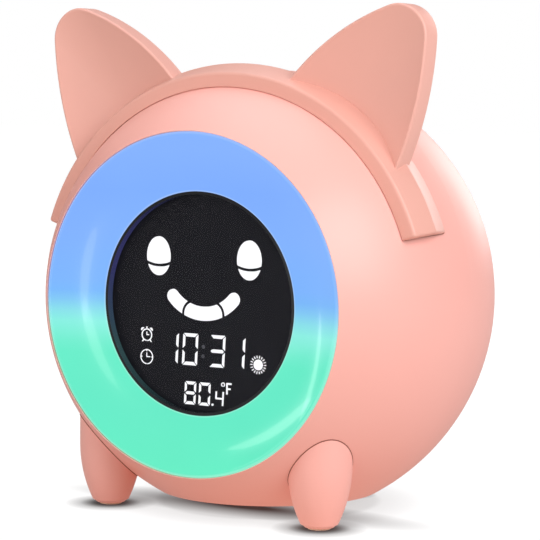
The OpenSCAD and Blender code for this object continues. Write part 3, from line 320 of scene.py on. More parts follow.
# %% Board and metal materials
def circuit_board(name, lacquer, track, pitch=1.27 * MM):
    """Lacquered board with copper areas about four lead pitches apart, raised a little."""
    made, tree, place = start_material(name)
    wander = add(tree, "ShaderNodeTexVoronoi", {"Vector": place, "Scale": 1 / (4 * pitch)},
                 distance="MANHATTAN")
    track_mask = add(tree, "ShaderNodeMapRange", {"Value": wander.outputs["Distance"],
                     "From Min": 0.42, "From Max": 0.46})
    tint = add(tree, "ShaderNodeMix", {0: track_mask, 6: linear(lacquer), 7: linear(track)},
               data_type="RGBA")
    relief = add(tree, "ShaderNodeBump", {"Height": wander.outputs["Distance"],
                 "Distance": 0.03 * MM})
    end_material(tree, add(tree, "ShaderNodeBsdfPrincipled", {
        "Base Color": tint.outputs[2], "Roughness": 0.3, "IOR": 1.55, "Normal": relief}))
    return made


def plated_metal(name, colour, deeper, roughness, streak=0.15 * MM):
    """Metal with fine streaks along one direction."""
    made, tree, place = start_material(name)
    stretched = add(tree, "ShaderNodeMapping", {"Vector": place, "Scale": (1.0, 1.0, 0.06)})
    streaks = add(tree, "ShaderNodeTexNoise", {"Vector": stretched, "Scale": 1 / streak,
                  "Detail": 2.0})
    tint = add(tree, "ShaderNodeMix", {0: streaks, 6: linear(colour), 7: linear(deeper)},
               data_type="RGBA")
    gloss = add(tree, "ShaderNodeMapRange", {"Value": streaks, "To Min": roughness - 0.06,
                "To Max": roughness + 0.08})
    end_material(tree, add(tree, "ShaderNodeBsdfPrincipled", {
        "Base Color": tint.outputs[2], "Roughness": gloss, "Metallic": 1.0}))
    return made


green_board = circuit_board("Green lacquered board", "#1f5c3b", "#3c8a58")
white_board = circuit_board("White lacquered board", "#e9e9e4", "#d6d6d0")
zinc_steel = plated_metal("Zinc plated steel", "#c9cccf", "#aeb2b6", 0.28)
nickel_steel = plated_metal("Nickel plated steel", "#d8d6d0", "#c2bfb8", 0.22)
copper_foil = plated_metal("Copper foil", "#c88a5c", "#b57748", 0.3)
print("metals:", zinc_steel.name, nickel_steel.name, copper_foil.name)

# %% Rubber, paper and other materials
def soft_rubber(name, colour, deeper):
    """Matt rubber or paper with a fine relief."""
    made, tree, place = start_material(name)
    dust = add(tree, "ShaderNodeTexNoise", {"Vector": place, "Scale": 1 / (0.5 * MM),
               "Detail": 4.0})
    tint = add(tree, "ShaderNodeMix", {0: dust, 6: linear(colour), 7: linear(deeper)},
               data_type="RGBA")
    relief = add(tree, "ShaderNodeBump", {"Height": dust, "Distance": 0.02 * MM})
    end_material(tree, add(tree, "ShaderNodeBsdfPrincipled", {
        "Base Color": tint.outputs[2], "Roughness": 0.8, "IOR": 1.5, "Normal": relief}))
    return made


beige_rubber = soft_rubber("Beige rubber", "#dcc6b2", "#cfb8a4")
shrink_film = moulded("Blue shrink film", "#2f63a6", "#28569a", 0.28)
sensor_resin = moulded("Dipped brown resin", "#6b3a22", "#5a2e1a", 0.2)
lamp_lens = lit_film("Phosphor lamp", "#fff0c0", 0.5)
paper_cone = soft_rubber("Pressed paper", "#2a2a2e", "#212125")
print("materials so far:", len(bpy.data.materials))

# %% [markdown]
# ## Giving each part its material
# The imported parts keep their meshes. Each gets its finish by name. A part left out of the list
# would be a mistake, so the cell stops if it finds one.

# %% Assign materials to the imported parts
finishes = {
    pink_abs: ["front_shell", "rear_shell", "left_leg", "right_leg", "rear_panel"],
    band_abs_with_painted_shade: ["headband"],
    ear_abs: ["left_ear", "right_ear"],
    glowing_ring: ["light_ring"],
    bezel_painted_reflection: ["display_bezel"],
    smoked_window: ["display_lens"],
    black_film: ["display_mask"],
    white_signs: ["eye_windows", "smile_window", "time_digits", "temperature_digits",
                  "status_icons"],
    dark_signs: ["unlit_symbols"],
    white_abs: ["ring_reflector", "light_box", "speaker_clamp", "battery_tray"],
    warm_white_abs: ["power_knob", "button_time", "button_alarm", "button_up", "button_down",
                     "button_light", "button_sound"],
    white_board: ["ring_board"],
    green_board: ["display_board", "main_board", "switch_board"],
    lamp_lens: ["ring_leds", "display_leds"],
    zinc_steel: ["reflector_screws", "display_screws", "leg_screws", "housing_screws",
                 "board_screws", "panel_screws"],
    nickel_steel: ["coin_cell", "speaker_magnet", "usb_jack"],
    copper_foil: ["touch_plate"],
    beige_rubber: ["leg_pads", "rear_feet"],
    dark_nylon: ["board_parts", "coin_cell_holder", "push_switches", "power_switch",
                 "speaker_frame"],
    paper_cone: ["speaker_cone"],
    shrink_film: ["battery_pack"],
    sensor_resin: ["temperature_sensor"],
}
finished = set()
for material, names in finishes.items():
    for name in names:
        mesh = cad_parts[name].data
        mesh.materials.clear()
        mesh.materials.append(material)
        finished.add(name)
missing = sorted(set(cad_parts) - finished)
assert not missing, missing
print("finished parts:", len(finished))

# %% [markdown]
# ## Turning a profile with Geometry Nodes
# The ring is a turned part: one outline, swept once round its axis. Geometry Nodes suits that, as
# the sweep is a rule. The outline is a small mesh of points in a plane. The node tree lays out a
# grid with one row for each outline point and one column for each step round the axis, and then
# looks up each grid point's radius and depth from the outline. The seam is merged, and the result
# is turned into a plain mesh, so that no live modifier is left.

# %% The turning tree
WELD = 1e-7


def tree_input(tree, name, kind, value=None):
    """A named input of a node tree; the socket's identifier is what a modifier needs."""
    made = tree.interface.new_socket(name, in_out="INPUT", socket_type=kind)
    if value is not None:
        made.default_value = value
    return made.identifier


def turning_tree():
    """The sweep of a profile round the ring's axis, and the identifiers of its inputs."""
    tree = bpy.data.node_groups.new("Turn a profile", "GeometryNodeTree")
    ids = {"Profile": tree_input(tree, "Profile", "NodeSocketGeometry")}
    for name, kind, value in [
            ("Profile points", "NodeSocketInt", 10), ("Steps", "NodeSocketInt", 90),
            ("Axis height", "NodeSocketFloat", 0.0), ("Front", "NodeSocketFloat", 0.0),
            ("Material", "NodeSocketMaterial", None)]:
        ids[name] = tree_input(tree, name, kind, value)
    tree.interface.new_socket("Part", in_out="OUTPUT", socket_type="NodeSocketGeometry")
    given = add(tree, "NodeGroupInput").outputs
    columns = add(tree, "ShaderNodeMath", {0: given["Steps"], 1: 1.0})
    rows = add(tree, "ShaderNodeMath", {0: given["Profile points"], 1: 1.0})
    grid = add(tree, "GeometryNodeMeshGrid", {"Size X": 1.0, "Size Y": 1.0, "Vertices X": columns,
               "Vertices Y": rows})
    index = add(tree, "GeometryNodeInputIndex")
    column = add(tree, "ShaderNodeMath", {0: index, 1: rows}, operation="DIVIDE")
    column = add(tree, "ShaderNodeMath", {0: column}, operation="FLOOR")
    row = add(tree, "ShaderNodeMath", {0: column, 1: rows}, operation="MULTIPLY")
    row = add(tree, "ShaderNodeMath", {0: index, 1: row}, operation="SUBTRACT")
    row = add(tree, "ShaderNodeMath", {0: row, 1: given["Profile points"]}, operation="MODULO")
    spot = add(tree, "GeometryNodeInputPosition")
    looked_up = add(tree, "GeometryNodeSampleIndex", {"Geometry": given["Profile"], "Value": spot,
                    "Index": row}, data_type="FLOAT_VECTOR")
    outline = add(tree, "ShaderNodeSeparateXYZ", {0: looked_up}).outputs
    angle = add(tree, "ShaderNodeMath", {0: column, 1: given["Steps"]}, operation="DIVIDE")
    angle = add(tree, "ShaderNodeMath", {0: angle, 1: math.tau}, operation="MULTIPLY")
    across, up = [add(tree, "ShaderNodeMath", {
        0: outline["X"], 1: add(tree, "ShaderNodeMath", {0: angle}, operation=wave)},
        operation="MULTIPLY") for wave in ("COSINE", "SINE")]
    placed = add(tree, "ShaderNodeCombineXYZ", {
        0: across, 1: add(tree, "ShaderNodeMath", {0: outline["Y"], 1: given["Front"]}),
        2: add(tree, "ShaderNodeMath", {0: up, 1: given["Axis height"]})})
    bent = add(tree, "GeometryNodeSetPosition", {"Geometry": grid, "Position": placed})
    joined = add(tree, "GeometryNodeMergeByDistance", {"Geometry": bent, "Distance": WELD})
    real = add(tree, "GeometryNodeRealizeInstances", {"Geometry": joined})
    coated = add(tree, "GeometryNodeSetMaterial", {"Geometry": real,
                 "Material": given["Material"]})
    add(tree, "NodeGroupOutput", {0: coated})
    return tree, ids


turning, turning_inputs = turning_tree()
print("inputs of the turning tree:", list(turning_inputs))

# %% From a tree to a plain piece
def new_object(name, data):
    """A new object, linked to the scene."""
    made = bpy.data.objects.new(name, data)
    bpy.context.scene.collection.objects.link(made)
    return made


def plain_mesh(name, start, tree, values):
    """Runs a tree on a starting mesh and keeps the result as a plain object."""
    holder = new_object(name + "_start", start)
    modifier = holder.modifiers.new("Nodes", "NODES")
    modifier.node_group = tree
    for identifier, value in values.items():
        modifier[identifier] = value
    ready = holder.evaluated_get(bpy.context.evaluated_depsgraph_get())
    mesh = bpy.data.meshes.new_from_object(ready)
    bpy.data.objects.remove(holder)
    if mesh.materials[0] is None:  # a grid brings an empty first slot, which no face uses
        mesh.materials.pop(index=0)
    return finished_piece(name, mesh)


def finished_piece(name, mesh, sharp=35):
    """Normals outward, soft shading with edges kept where the surface really turns."""
    work = bmesh.new()
    work.from_mesh(mesh)
    bmesh.ops.remove_doubles(work, verts=work.verts, dist=WELD)
    bmesh.ops.recalc_face_normals(work, faces=work.faces)
    work.to_mesh(mesh)
    work.free()
    mesh.shade_smooth()
    mesh.set_sharp_from_angle(angle=math.radians(sharp))
    mesh.name = name
    print(name, "faces:", len(mesh.polygons))
    return new_object(name, mesh)


print("points closer than", WELD, "metres are merged")

# %% [markdown]
# ## Helpers for swept pieces
# The ears and the band are rows of points, each row a closed loop. One helper joins each row to
# the next with four-sided faces. Another finds which way is inwards all along a loop.

# %% Sweep helpers
def joined_rows(rows, n, first=0):
    """Faces between closed rows of n points each."""
    return [(first + k * n + i, first + k * n + (i + 1) % n,
             first + (k + 1) * n + (i + 1) % n, first + (k + 1) * n + i)
            for k in range(rows - 1) for i in range(n)]


def inwards(loop):
    """The inward direction, one unit long, at each point of a closed loop."""
    ahead = np.roll(loop, -1, 0) - np.roll(loop, 1, 0)
    way = np.stack((-ahead[:, 1], ahead[:, 0]), 1) / np.linalg.norm(ahead, axis=1)[:, None]
    return -way if ((loop.mean(0) - loop) * way).sum() < 0 else way


print("faces between two rows of four points:", joined_rows(2, 4))

# %% [markdown]
# ## The light ring
# The ring is dished: from a small round at its outer edge the face slopes in and back to the
# display, slightly hollow, which is what bends the reflections into long arcs. Behind the face
# it is a shell, 2 mm thick, with a skirt that slips into the ball.

# %% Light ring
RING_OUT, RING_IN, RING_DISH, RING_BOW = 46.0, 30.05, 5.1, 0.7
RING_WALL, RING_ROUND, RING_SKIRT, RING_STEPS = 2.0, 0.8, 7.95, 240
RING_BORE, RING_INNER_KINK, SKIRT_CHAMFER, SKIRT_FILLET = 30.0, 38.0, 0.3, 0.6


def ring_profile():
    """Outline of the ring's section as radius and depth in millimetres."""
    slope = math.atan2(RING_DISH, RING_OUT - RING_BORE - RING_ROUND)
    turn_r, turn_d = RING_OUT - RING_ROUND, RING_ROUND
    touch_r, touch_d = turn_r - RING_ROUND * math.sin(slope), turn_d - RING_ROUND * math.cos(slope)

    def face(r):
        return touch_d + (touch_r - r) * math.tan(slope)

    outline = []
    for t in np.linspace(0, 1, 41):
        r = RING_IN + t * (touch_r - RING_IN)
        outline.append((r, face(r) + RING_BOW * 4 * t * (1 - t)))
    for a in np.linspace(-math.pi / 2 - slope, 0, 10)[1:]:
        outline.append((turn_r + RING_ROUND * math.cos(a), turn_d + RING_ROUND * math.sin(a)))
    skirt_r = RING_OUT - RING_WALL
    outline += [(RING_OUT, RING_SKIRT - SKIRT_CHAMFER), (RING_OUT - SKIRT_CHAMFER, RING_SKIRT),
                (skirt_r, RING_SKIRT), (skirt_r, face(skirt_r) + RING_WALL + SKIRT_FILLET),
                (RING_INNER_KINK, face(RING_INNER_KINK) + RING_BOW + RING_WALL),
                (RING_IN, face(RING_IN) + RING_WALL)]
    return outline


def profile_mesh(name, outline):
    mesh = bpy.data.meshes.new(name)
    points = [(r * MM, d * MM, 0.0) for r, d in outline]
    mesh.from_pydata(points, [(i, i + 1) for i in range(len(points) - 1)], [])
    return mesh


outline = ring_profile()
ring_glow = plain_mesh("light_ring_glow", profile_mesh("ring_outline", outline), turning, {
    turning_inputs["Profile points"]: len(outline), turning_inputs["Steps"]: RING_STEPS,
    turning_inputs["Axis height"]: axis_z, turning_inputs["Front"]: front_y,
    turning_inputs["Material"]: glowing_ring})
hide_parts("light_ring")
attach(ring_glow, "clock")

# %% [markdown]
# ## The cat ears
# Each ear is a leaf of plastic, 7 mm thick, with a shallow hollow in its front that gets deeper
# towards the band. Its outline is two long arcs that meet in a round tip. The plain solid has a
# faceted hollow and a hard edge. Here the front is a fine grid of rings drawn in from the
# outline, pushed back by the same rule as in the solid, and the rims get a real rounding, which
# is what catches the light. The foot ends inside the band, as the real ear's tongue does.

# %% Ear outline
BALL, BALL_BACK = 62.8, 42.4
EAR_FRONT, EAR_BACK, EAR_HOLLOW, EAR_RIM = 20.6, 27.6, 4.6, 0.55
EAR_ANGLE, EAR_REACH, EAR_TIP_R = math.radians(54.5), 23.1, 8.6
EAR_FOOT, EAR_INNER_R, EAR_OUTER_R = 61.3, 68.0, 98.0
INNER_END, OUTER_END, SIDE_POINTS, TIP_POINTS = (-6.5, 20.0), (-6.9, -20.8), 60, 40
BAND_CREST, CREST_RISE = 24.8, 3.9
crest_r = math.sqrt(BALL ** 2 - (BAND_CREST - BALL_BACK) ** 2) + CREST_RISE


def ear_spot(out, side):
    """A place given along the ear from the band's crest, and to one side of its middle line."""
    along = np.array((math.cos(EAR_ANGLE), math.sin(EAR_ANGLE)))
    return (crest_r + out) * along + side * np.array((-along[1], along[0]))


ear_tip, ear_in, ear_out = ear_spot(EAR_REACH, 0), ear_spot(*INNER_END), ear_spot(*OUTER_END)


def side_centre(end, radius, side):
    """Centre of the arc of a given radius through one end that runs on into the tip's round."""
    gap = end - ear_tip
    n, a = np.linalg.norm(gap), radius - EAR_TIP_R
    u = gap / n
    x = (n * n + a * a - radius * radius) / (2 * n)
    return ear_tip + x * u + side * math.sqrt(a * a - x * x) * np.array((-u[1], u[0]))


def arc_points(centre, radius, start, stop, count):
    """Points along an arc between two angles."""
    angles = start + (stop - start) * np.linspace(0, 1, count)
    return centre + radius * np.stack((np.cos(angles), np.sin(angles)), 1)


def heading(v):
    return math.atan2(v[1], v[0])


inner_c = side_centre(ear_in, EAR_INNER_R, 1)
outer_c = side_centre(ear_out, EAR_OUTER_R, -1)
inner_a, outer_a = heading(ear_tip - inner_c), heading(ear_tip - outer_c)
ear_edge = np.concatenate((
    arc_points(inner_c, EAR_INNER_R, heading(ear_in - inner_c), inner_a, SIDE_POINTS)[:-1],
    arc_points(ear_tip, EAR_TIP_R, inner_a, outer_a, TIP_POINTS),
    arc_points(outer_c, EAR_OUTER_R, outer_a, heading(ear_out - outer_c), SIDE_POINTS)[1:]))
print("ear outline points:", len(ear_edge), "from", ear_edge[0], "to", ear_edge[-1])

# %% Ear hollow
BASE_SHIFT = np.array((1.5, 2.0))
ear_base = (ear_in + ear_out) / 2 - BASE_SHIFT
# Three points far below the foot close the outline, so that the hollow runs out under the band.
ear_far = np.concatenate((ear_edge, [ear_out - (12, 10), ear_base - (12, 17), ear_in - (14, 10)]))


def hollow_depth(p):
    """How far the front of the ear lies behind its rim at a point of its outline plane."""
    rays = ear_far - ear_base
    order = np.argsort(np.arctan2(rays[:, 1], rays[:, 0]))
    angles = np.arctan2(rays[order, 1], rays[order, 0])
    reach = np.linalg.norm(rays[order], axis=1) - EAR_RIM
    q = p - ear_base
    limit = np.interp(np.arctan2(q[:, 1], q[:, 0]), angles, reach, period=math.tau)
    t = np.clip(np.linalg.norm(q, axis=1) / limit, 0, 1)
    return EAR_HOLLOW * (1 - t ** 2)


print("depth of the hollow at its foot:", float(hollow_depth(ear_base[None, :])[0]), "mm")

# %% Ear pieces
EAR_BACK_ROUND, EAR_FRONT_ROUND, FOOT_TAPER, FOOT_POINTS = 0.9, 0.6, 2.5, 42
BACK_ROWS, ROUND_ROWS, HOLLOW_ROWS = 8, 7, 40


def ear_mesh(name, side):
    """The ear as closed rings of points: back, rounded edges, rim and hollow."""
    keep = ear_edge[np.linalg.norm(ear_edge, axis=1) > EAR_FOOT]
    foot = arc_points(np.zeros(2), EAR_FOOT, heading(keep[-1]), heading(keep[0]), FOOT_POINTS)[1:-1]
    loop = np.concatenate((keep, foot))
    inward, middle = inwards(loop), loop.mean(0)
    from_foot = np.minimum(np.linalg.norm(keep - keep[0], axis=1),
                           np.linalg.norm(keep - keep[-1], axis=1))
    inward[:len(keep)] *= np.clip(from_foot / FOOT_TAPER, 0, 1)[:, None]
    inward[len(keep):] = 0
    rings = []
    flat_back = np.full(len(loop), EAR_BACK)
    inset = loop + inward * EAR_BACK_ROUND
    for t in np.linspace(0.05, 1, BACK_ROWS):
        rings.append((middle + (inset - middle) * t, flat_back))
    for a in np.linspace(0, math.pi / 2, ROUND_ROWS)[1:]:
        rings.append((loop + inward * EAR_BACK_ROUND * (1 - math.sin(a)),
                      flat_back - EAR_BACK_ROUND * (1 - math.cos(a))))
    for a in np.linspace(0, math.pi / 2, ROUND_ROWS):
        rings.append((loop + inward * EAR_FRONT_ROUND * (1 - math.cos(a)),
                      np.full(len(loop), EAR_FRONT + EAR_FRONT_ROUND * (1 - math.sin(a)))))
    inset = loop + inward * EAR_FRONT_ROUND
    for t in 1 - np.linspace(0, 0.95, HOLLOW_ROWS)[1:]:
        p = middle + (inset - middle) * t
        rings.append((p, EAR_FRONT + hollow_depth(p)))
    n = len(loop)
    points, faces = [], joined_rows(len(rings), n)
    for flat, depth in rings:
        points += [on_face(side * q[0] * MM, q[1] * MM, d * MM) for q, d in zip(flat, depth)]
    back_hub, front_hub = len(points), len(points) + 1
    points.append(on_face(side * middle[0] * MM, middle[1] * MM, EAR_BACK * MM))
    deep = hollow_depth(middle[None, :])[0]
    points.append(on_face(side * middle[0] * MM, middle[1] * MM, (EAR_FRONT + deep) * MM))
    last = (len(rings) - 1) * n
    for i in range(n):
        j = (i + 1) % n
        faces.append((back_hub, j, i))
        faces.append((front_hub, last + i, last + j))
    mesh = bpy.data.meshes.new(name)
    mesh.from_pydata(points, [], faces)
    mesh.materials.append(ear_abs)
    return mesh


for name, node, side in [("left_ear_leaf", "left_ear", -1), ("right_ear_leaf", "right_ear", 1)]:
    ear = finished_piece(name, ear_mesh(name, side), sharp=50)
    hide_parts(node)
    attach(ear, "clock")

# %% [markdown]
# ## The headband
# The band hugs the ball and thickens to a low crest. What makes it look moulded and not cut is
# its edges: a small round along the front and round both ends, which catches a line of light,
# and a fine relief along the ball, which leaves a dark line. So its section is drawn point by
# point, swept over the top, and drawn in at the two ends along a quarter circle. Three pegs hold
# it to the ball.

# %% Headband section
BAND_INNER, BAND_FRONT, BAND_REAR = 62.85, 17.5, 33.1
FRONT_RISE, FRONT_ROUND, CREST_ROUND = 4.25, 1.1, 1.6
BAND_HALF, BAND_END_ROUND, BAND_RELIEF = math.radians(71.5), 0.7, 0.16
BAND_END_R, BAND_STEPS = 62, 181
PEG_ANGLES, PEG_R, PEG_DEPTH, PEG_IN, PEG_STEPS = (38, 90, 142), 2.0, 26.0, 4.3, 32


def by_ball(depth):
    """Radius of the band's inner face at a depth behind the face."""
    return math.sqrt(BAND_INNER ** 2 - (depth - BALL_BACK) ** 2)


def band_section():
    """Outline of the band's section as radius and depth, from its rear edge forwards."""
    front_r, high = by_ball(BAND_FRONT) + FRONT_RISE, by_ball(BAND_CREST) + CREST_RISE
    depths = np.linspace(BAND_REAR - 0.4, BAND_FRONT + BAND_RELIEF, 18)
    section = [(by_ball(d), d) for d in depths]
    low = by_ball(BAND_FRONT) + BAND_RELIEF
    section += [(r, BAND_FRONT) for r in np.linspace(low, front_r - FRONT_ROUND, 5)]
    for a in np.radians(np.linspace(270, 345, 9))[1:]:
        section.append((front_r - FRONT_ROUND * (1 - math.cos(a)),
                        BAND_FRONT + FRONT_ROUND * (1 + math.sin(a))))
    for a in np.radians(np.linspace(-15, 22, 9)):
        section.append((high - CREST_ROUND * (1 - math.cos(a)),
                        BAND_CREST + CREST_ROUND * math.sin(a)))
    section += [(by_ball(BAND_REAR) + 0.5, BAND_REAR - 0.2), (by_ball(BAND_REAR) + 0.3, BAND_REAR)]
    return np.array(section)


print("points in the band's section:", len(band_section()))

# %% Headband piece
def band_mesh(name):
    """The section swept over the ball, drawn in at both ends, with its three pegs."""
    section = band_section()
    n, points = len(section), []
    ends = [(BAND_END_ROUND * (1 - math.sin(a)), BAND_END_ROUND * (1 - math.cos(a)))
            for a in np.linspace(0, math.pi / 2, 6)]
    sweep = [(inset, -BAND_HALF + back / BAND_END_R) for inset, back in ends]
    sweep += [(0.0, a) for a in np.linspace(-BAND_HALF, BAND_HALF, BAND_STEPS)[2:-2]]
    sweep += [(inset, -angle) for inset, angle in sweep[:len(ends)][::-1]]
    for inset, angle in sweep:
        for r, depth in section + inwards(section) * inset:
            points.append(on_face(r * math.sin(angle) * MM, r * math.cos(angle) * MM, depth * MM))
    faces = joined_rows(len(sweep), n)
    faces.append(tuple(range(n)))
    faces.append(tuple(range(len(points) - n, len(points)))[::-1])
    for peg in np.radians(PEG_ANGLES):
        along = np.array((math.cos(peg), math.sin(peg)))
        across = np.array((-along[1], along[0]))
        first = len(points)
        for r in (by_ball(PEG_DEPTH) - PEG_IN, by_ball(PEG_DEPTH) + 0.4):
            for a in np.linspace(0, math.tau, PEG_STEPS, endpoint=False):
                q = along * r + across * PEG_R * math.cos(a)
                points.append(on_face(q[0] * MM, q[1] * MM, (PEG_DEPTH + PEG_R * math.sin(a)) * MM))
        faces += joined_rows(2, PEG_STEPS, first)
        faces += [tuple(range(first, first + PEG_STEPS))[::-1],
                  tuple(range(first + PEG_STEPS, first + 2 * PEG_STEPS))]
    mesh = bpy.data.meshes.new(name)
    mesh.from_pydata(points, [], faces)
    mesh.materials.append(band_abs_with_painted_shade)
    return mesh


band = finished_piece("headband_moulding", band_mesh("headband_moulding"), sharp=50)
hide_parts("headband")
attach(band, "clock")

# %% [markdown]
# ## The joints of the legs
# Each leg is a separate moulding that is screwed up against the ball, leaving a fine gap between
# them. The shade in that gap is painted as a thin dark brown line that follows the curve
# where the leg meets the ball. That is a path with a round section, so Geometry Nodes turns a
# loop of edges into a curve and gives it the section.

# %% The line tree
def line_tree():
    """A round line along a path of edges, and the identifiers of its inputs."""
    tree = bpy.data.node_groups.new("Line along a path", "GeometryNodeTree")
    ids = {"Path": tree_input(tree, "Path", "NodeSocketGeometry"),
           "Radius": tree_input(tree, "Radius", "NodeSocketFloat", 0.25 * MM),
           "Material": tree_input(tree, "Material", "NodeSocketMaterial")}
    tree.interface.new_socket("Part", in_out="OUTPUT", socket_type="NodeSocketGeometry")
    given = add(tree, "NodeGroupInput").outputs
    curve = add(tree, "GeometryNodeMeshToCurve", {0: given["Path"]})
    section = add(tree, "GeometryNodeCurvePrimitiveCircle", {"Resolution": 10,
                  "Radius": given["Radius"]})
    line = add(tree, "GeometryNodeCurveToMesh", {"Curve": curve, "Profile Curve": section})
    real = add(tree, "GeometryNodeRealizeInstances", {"Geometry": line})
    coated = add(tree, "GeometryNodeSetMaterial", {"Geometry": real,
                 "Material": given["Material"]})
    add(tree, "NodeGroupOutput", {0: coated})
    return tree, ids


line, line_inputs = line_tree()
print("inputs of the line tree:", list(line_inputs))

# %% Leg joints
LEG_X, LEG_DEPTH, LEG_R, LEG_FOOT_R, LEG_FULL = 33.6, 13.0, 8.6, 4.4, 17.0
LEG_CURVE = (LEG_FULL ** 2 + (LEG_R - LEG_FOOT_R) ** 2) / (2 * (LEG_R - LEG_FOOT_R))
# Radius of the painted shade line, and the tries in the search for its path.
GAP_SHADE_R, TRIES = 0.14 * MM, 30


def leg_joint_points(side, count=96):
    """The curve where a leg's side meets the ball, found by trying the height again and again."""
    found = []
    for a in np.linspace(0, math.tau, count, endpoint=False):
        z = LEG_FULL
        for _ in range(TRIES):
            low = min(z - LEG_FULL, 0.0)
            r = LEG_R - LEG_CURVE + math.sqrt(LEG_CURVE ** 2 - low ** 2)
            x, back = LEG_X + r * math.cos(a), LEG_DEPTH + r * math.sin(a)
            drop = math.sqrt(BALL ** 2 - x ** 2 - (back - BALL_BACK) ** 2)
            z = axis_z / MM - drop
        found.append(Vector((side * x * MM, front_y + back * MM, z * MM)))
    return found


paths = bpy.data.meshes.new("leg_joint_paths")
loops = [leg_joint_points(-1), leg_joint_points(1)]
n = len(loops[0])
paths.from_pydata(loops[0] + loops[1], [(first + i, first + (i + 1) % n)
                                        for first in (0, n) for i in range(n)], [])
joints = plain_mesh("leg_painted_gap_shade", paths, line, {line_inputs["Radius"]: GAP_SHADE_R,
                                                 line_inputs["Material"]: painted_gap_shade})
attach(joints, "clock")

# %% [markdown]
# ## The camera
# The clock is seen from the right and from a little above, through a long lens, so that its
# lines hardly converge. The lens is given in millimetres on a 36 mm wide sensor.

# %% Camera
CAMERA_PLACE = Vector((0.32160, -0.53477, 0.11312))
CAMERA_TURN = math.radians(31.26)
CAMERA_DOWN = math.radians(4.45)
CAMERA_ROLL = math.radians(0.5)
CAMERA_LENS, CAMERA_SENSOR = 147.78, 36.0

camera_data = bpy.data.cameras.new("Camera")
camera_data.sensor_width = CAMERA_SENSOR
camera_data.lens = CAMERA_LENS
camera = new_object("Camera", camera_data)
ahead = Vector((-math.sin(CAMERA_TURN) * math.cos(CAMERA_DOWN),
                math.cos(CAMERA_TURN) * math.cos(CAMERA_DOWN), -math.sin(CAMERA_DOWN)))
right = Vector((math.cos(CAMERA_TURN), math.sin(CAMERA_TURN), 0.0))
above = right.cross(ahead)
rolled_right = math.cos(CAMERA_ROLL) * right + math.sin(CAMERA_ROLL) * above
rolled_above = math.cos(CAMERA_ROLL) * above - math.sin(CAMERA_ROLL) * right
turn = Matrix((rolled_right, rolled_above, -ahead)).transposed()
camera.matrix_world = Matrix.Translation(CAMERA_PLACE) @ turn.to_4x4()
bpy.context.scene.camera = camera
print("camera at", tuple(round(v, 4) for v in CAMERA_PLACE))

# %% [markdown]
# ## Floor
# The clock stands on a white sheet in a light tent. What the camera sees of the sheet is lifted
# to white, and its soft shade is drawn by rule, from places measured in millimetres: a long oval
# under the ball, a round spot under each leg, and two reaches of contact shade close to the feet.

# %% Floor sheet
FLOOR_HALF = 6.0
floor_mesh = bpy.data.meshes.new("Floor")
floor_mesh.from_pydata([(-FLOOR_HALF, -FLOOR_HALF, 0), (FLOOR_HALF, -FLOOR_HALF, 0),
                        (FLOOR_HALF, FLOOR_HALF, 0), (-FLOOR_HALF, FLOOR_HALF, 0)], [],
                       [(0, 1, 2, 3)])
floor = new_object("Floor", floor_mesh)
sheet, tree, place = start_material("White paper sheet")
floor_mesh.materials.append(sheet)
print("floor:", 2 * FLOOR_HALF, "metres wide")

# %% Floor shade
BALL_SHADE_BACK, BALL_SHADE_SIZE = 18.5, (60, 15)
LEG_SHADE = (3.5, 13)
CONTACT_SHADE = [(3.9, 0.4, 0.97, 0.3), (12, 0.05, 0.8, 0.75)]

away = add(tree, "ShaderNodeVectorMath", {0: place}, operation="LENGTH").outputs["Value"]
shades = [add(tree, "ShaderNodeMapRange", {"Value": away, "From Min": 0.06, "From Max": 0.2,
              "To Min": 0.97, "To Max": 1.0}, interpolation_type="SMOOTHSTEP")]
oval = add(tree, "ShaderNodeVectorMath", {0: place, 1: (0.0, BALL_SHADE_BACK * MM, 0.0)})
oval = add(tree, "ShaderNodeVectorMath", {0: oval, 1: (
    1 / (BALL_SHADE_SIZE[0] * MM), 1 / (BALL_SHADE_SIZE[1] * MM), 0.0)}, operation="MULTIPLY")
oval = add(tree, "ShaderNodeVectorMath", {0: oval}, operation="LENGTH")
shades.append(add(tree, "ShaderNodeMapRange", {"Value": oval.outputs["Value"],
              "From Min": 0.15, "From Max": 1.0, "To Min": 0.04, "To Max": 1.0}))
spot = add(tree, "ShaderNodeSeparateXYZ", {0: place}).outputs
across = add(tree, "ShaderNodeMath", {0: spot["X"]}, operation="ABSOLUTE")
from_leg = add(tree, "ShaderNodeCombineXYZ", {0: across, 1: spot["Y"]})
from_leg = add(tree, "ShaderNodeVectorMath", {
    0: from_leg, 1: (-LEG_X * MM, -front_y - LEG_DEPTH * MM, 0.0)})
from_leg = add(tree, "ShaderNodeVectorMath", {0: from_leg}, operation="LENGTH")
shades.append(add(tree, "ShaderNodeMapRange", {
    "Value": from_leg.outputs["Value"], "From Min": LEG_SHADE[0] * MM,
    "From Max": LEG_SHADE[1] * MM, "To Min": 0.15, "To Max": 1.0}))
for reach, blocked, clear, darkest in CONTACT_SHADE:
    open_sky = add(tree, "ShaderNodeAmbientOcclusion", {"Distance": reach * MM}, samples=24)
    shades.append(add(tree, "ShaderNodeMapRange", {"Value": open_sky.outputs["AO"],
                  "From Min": blocked, "From Max": clear, "To Min": darkest, "To Max": 1.0}))
fade = shades[0]
for shade in shades[1:]:
    fade = add(tree, "ShaderNodeMath", {0: fade, 1: shade}, operation="MULTIPLY")
print("reaches of contact shade in mm:", [row[0] for row in CONTACT_SHADE])

# %% [markdown]
# ## The light that comes back from the floor
# Towards the clock the sheet throws back a warm light, tinted by the pink ball close to it. It is
# weaker and more orange at the left, which lies in the ball's own shade. The sheet is dimmer
# where the gloss of the clock mirrors it, so that no white band shows in the window.

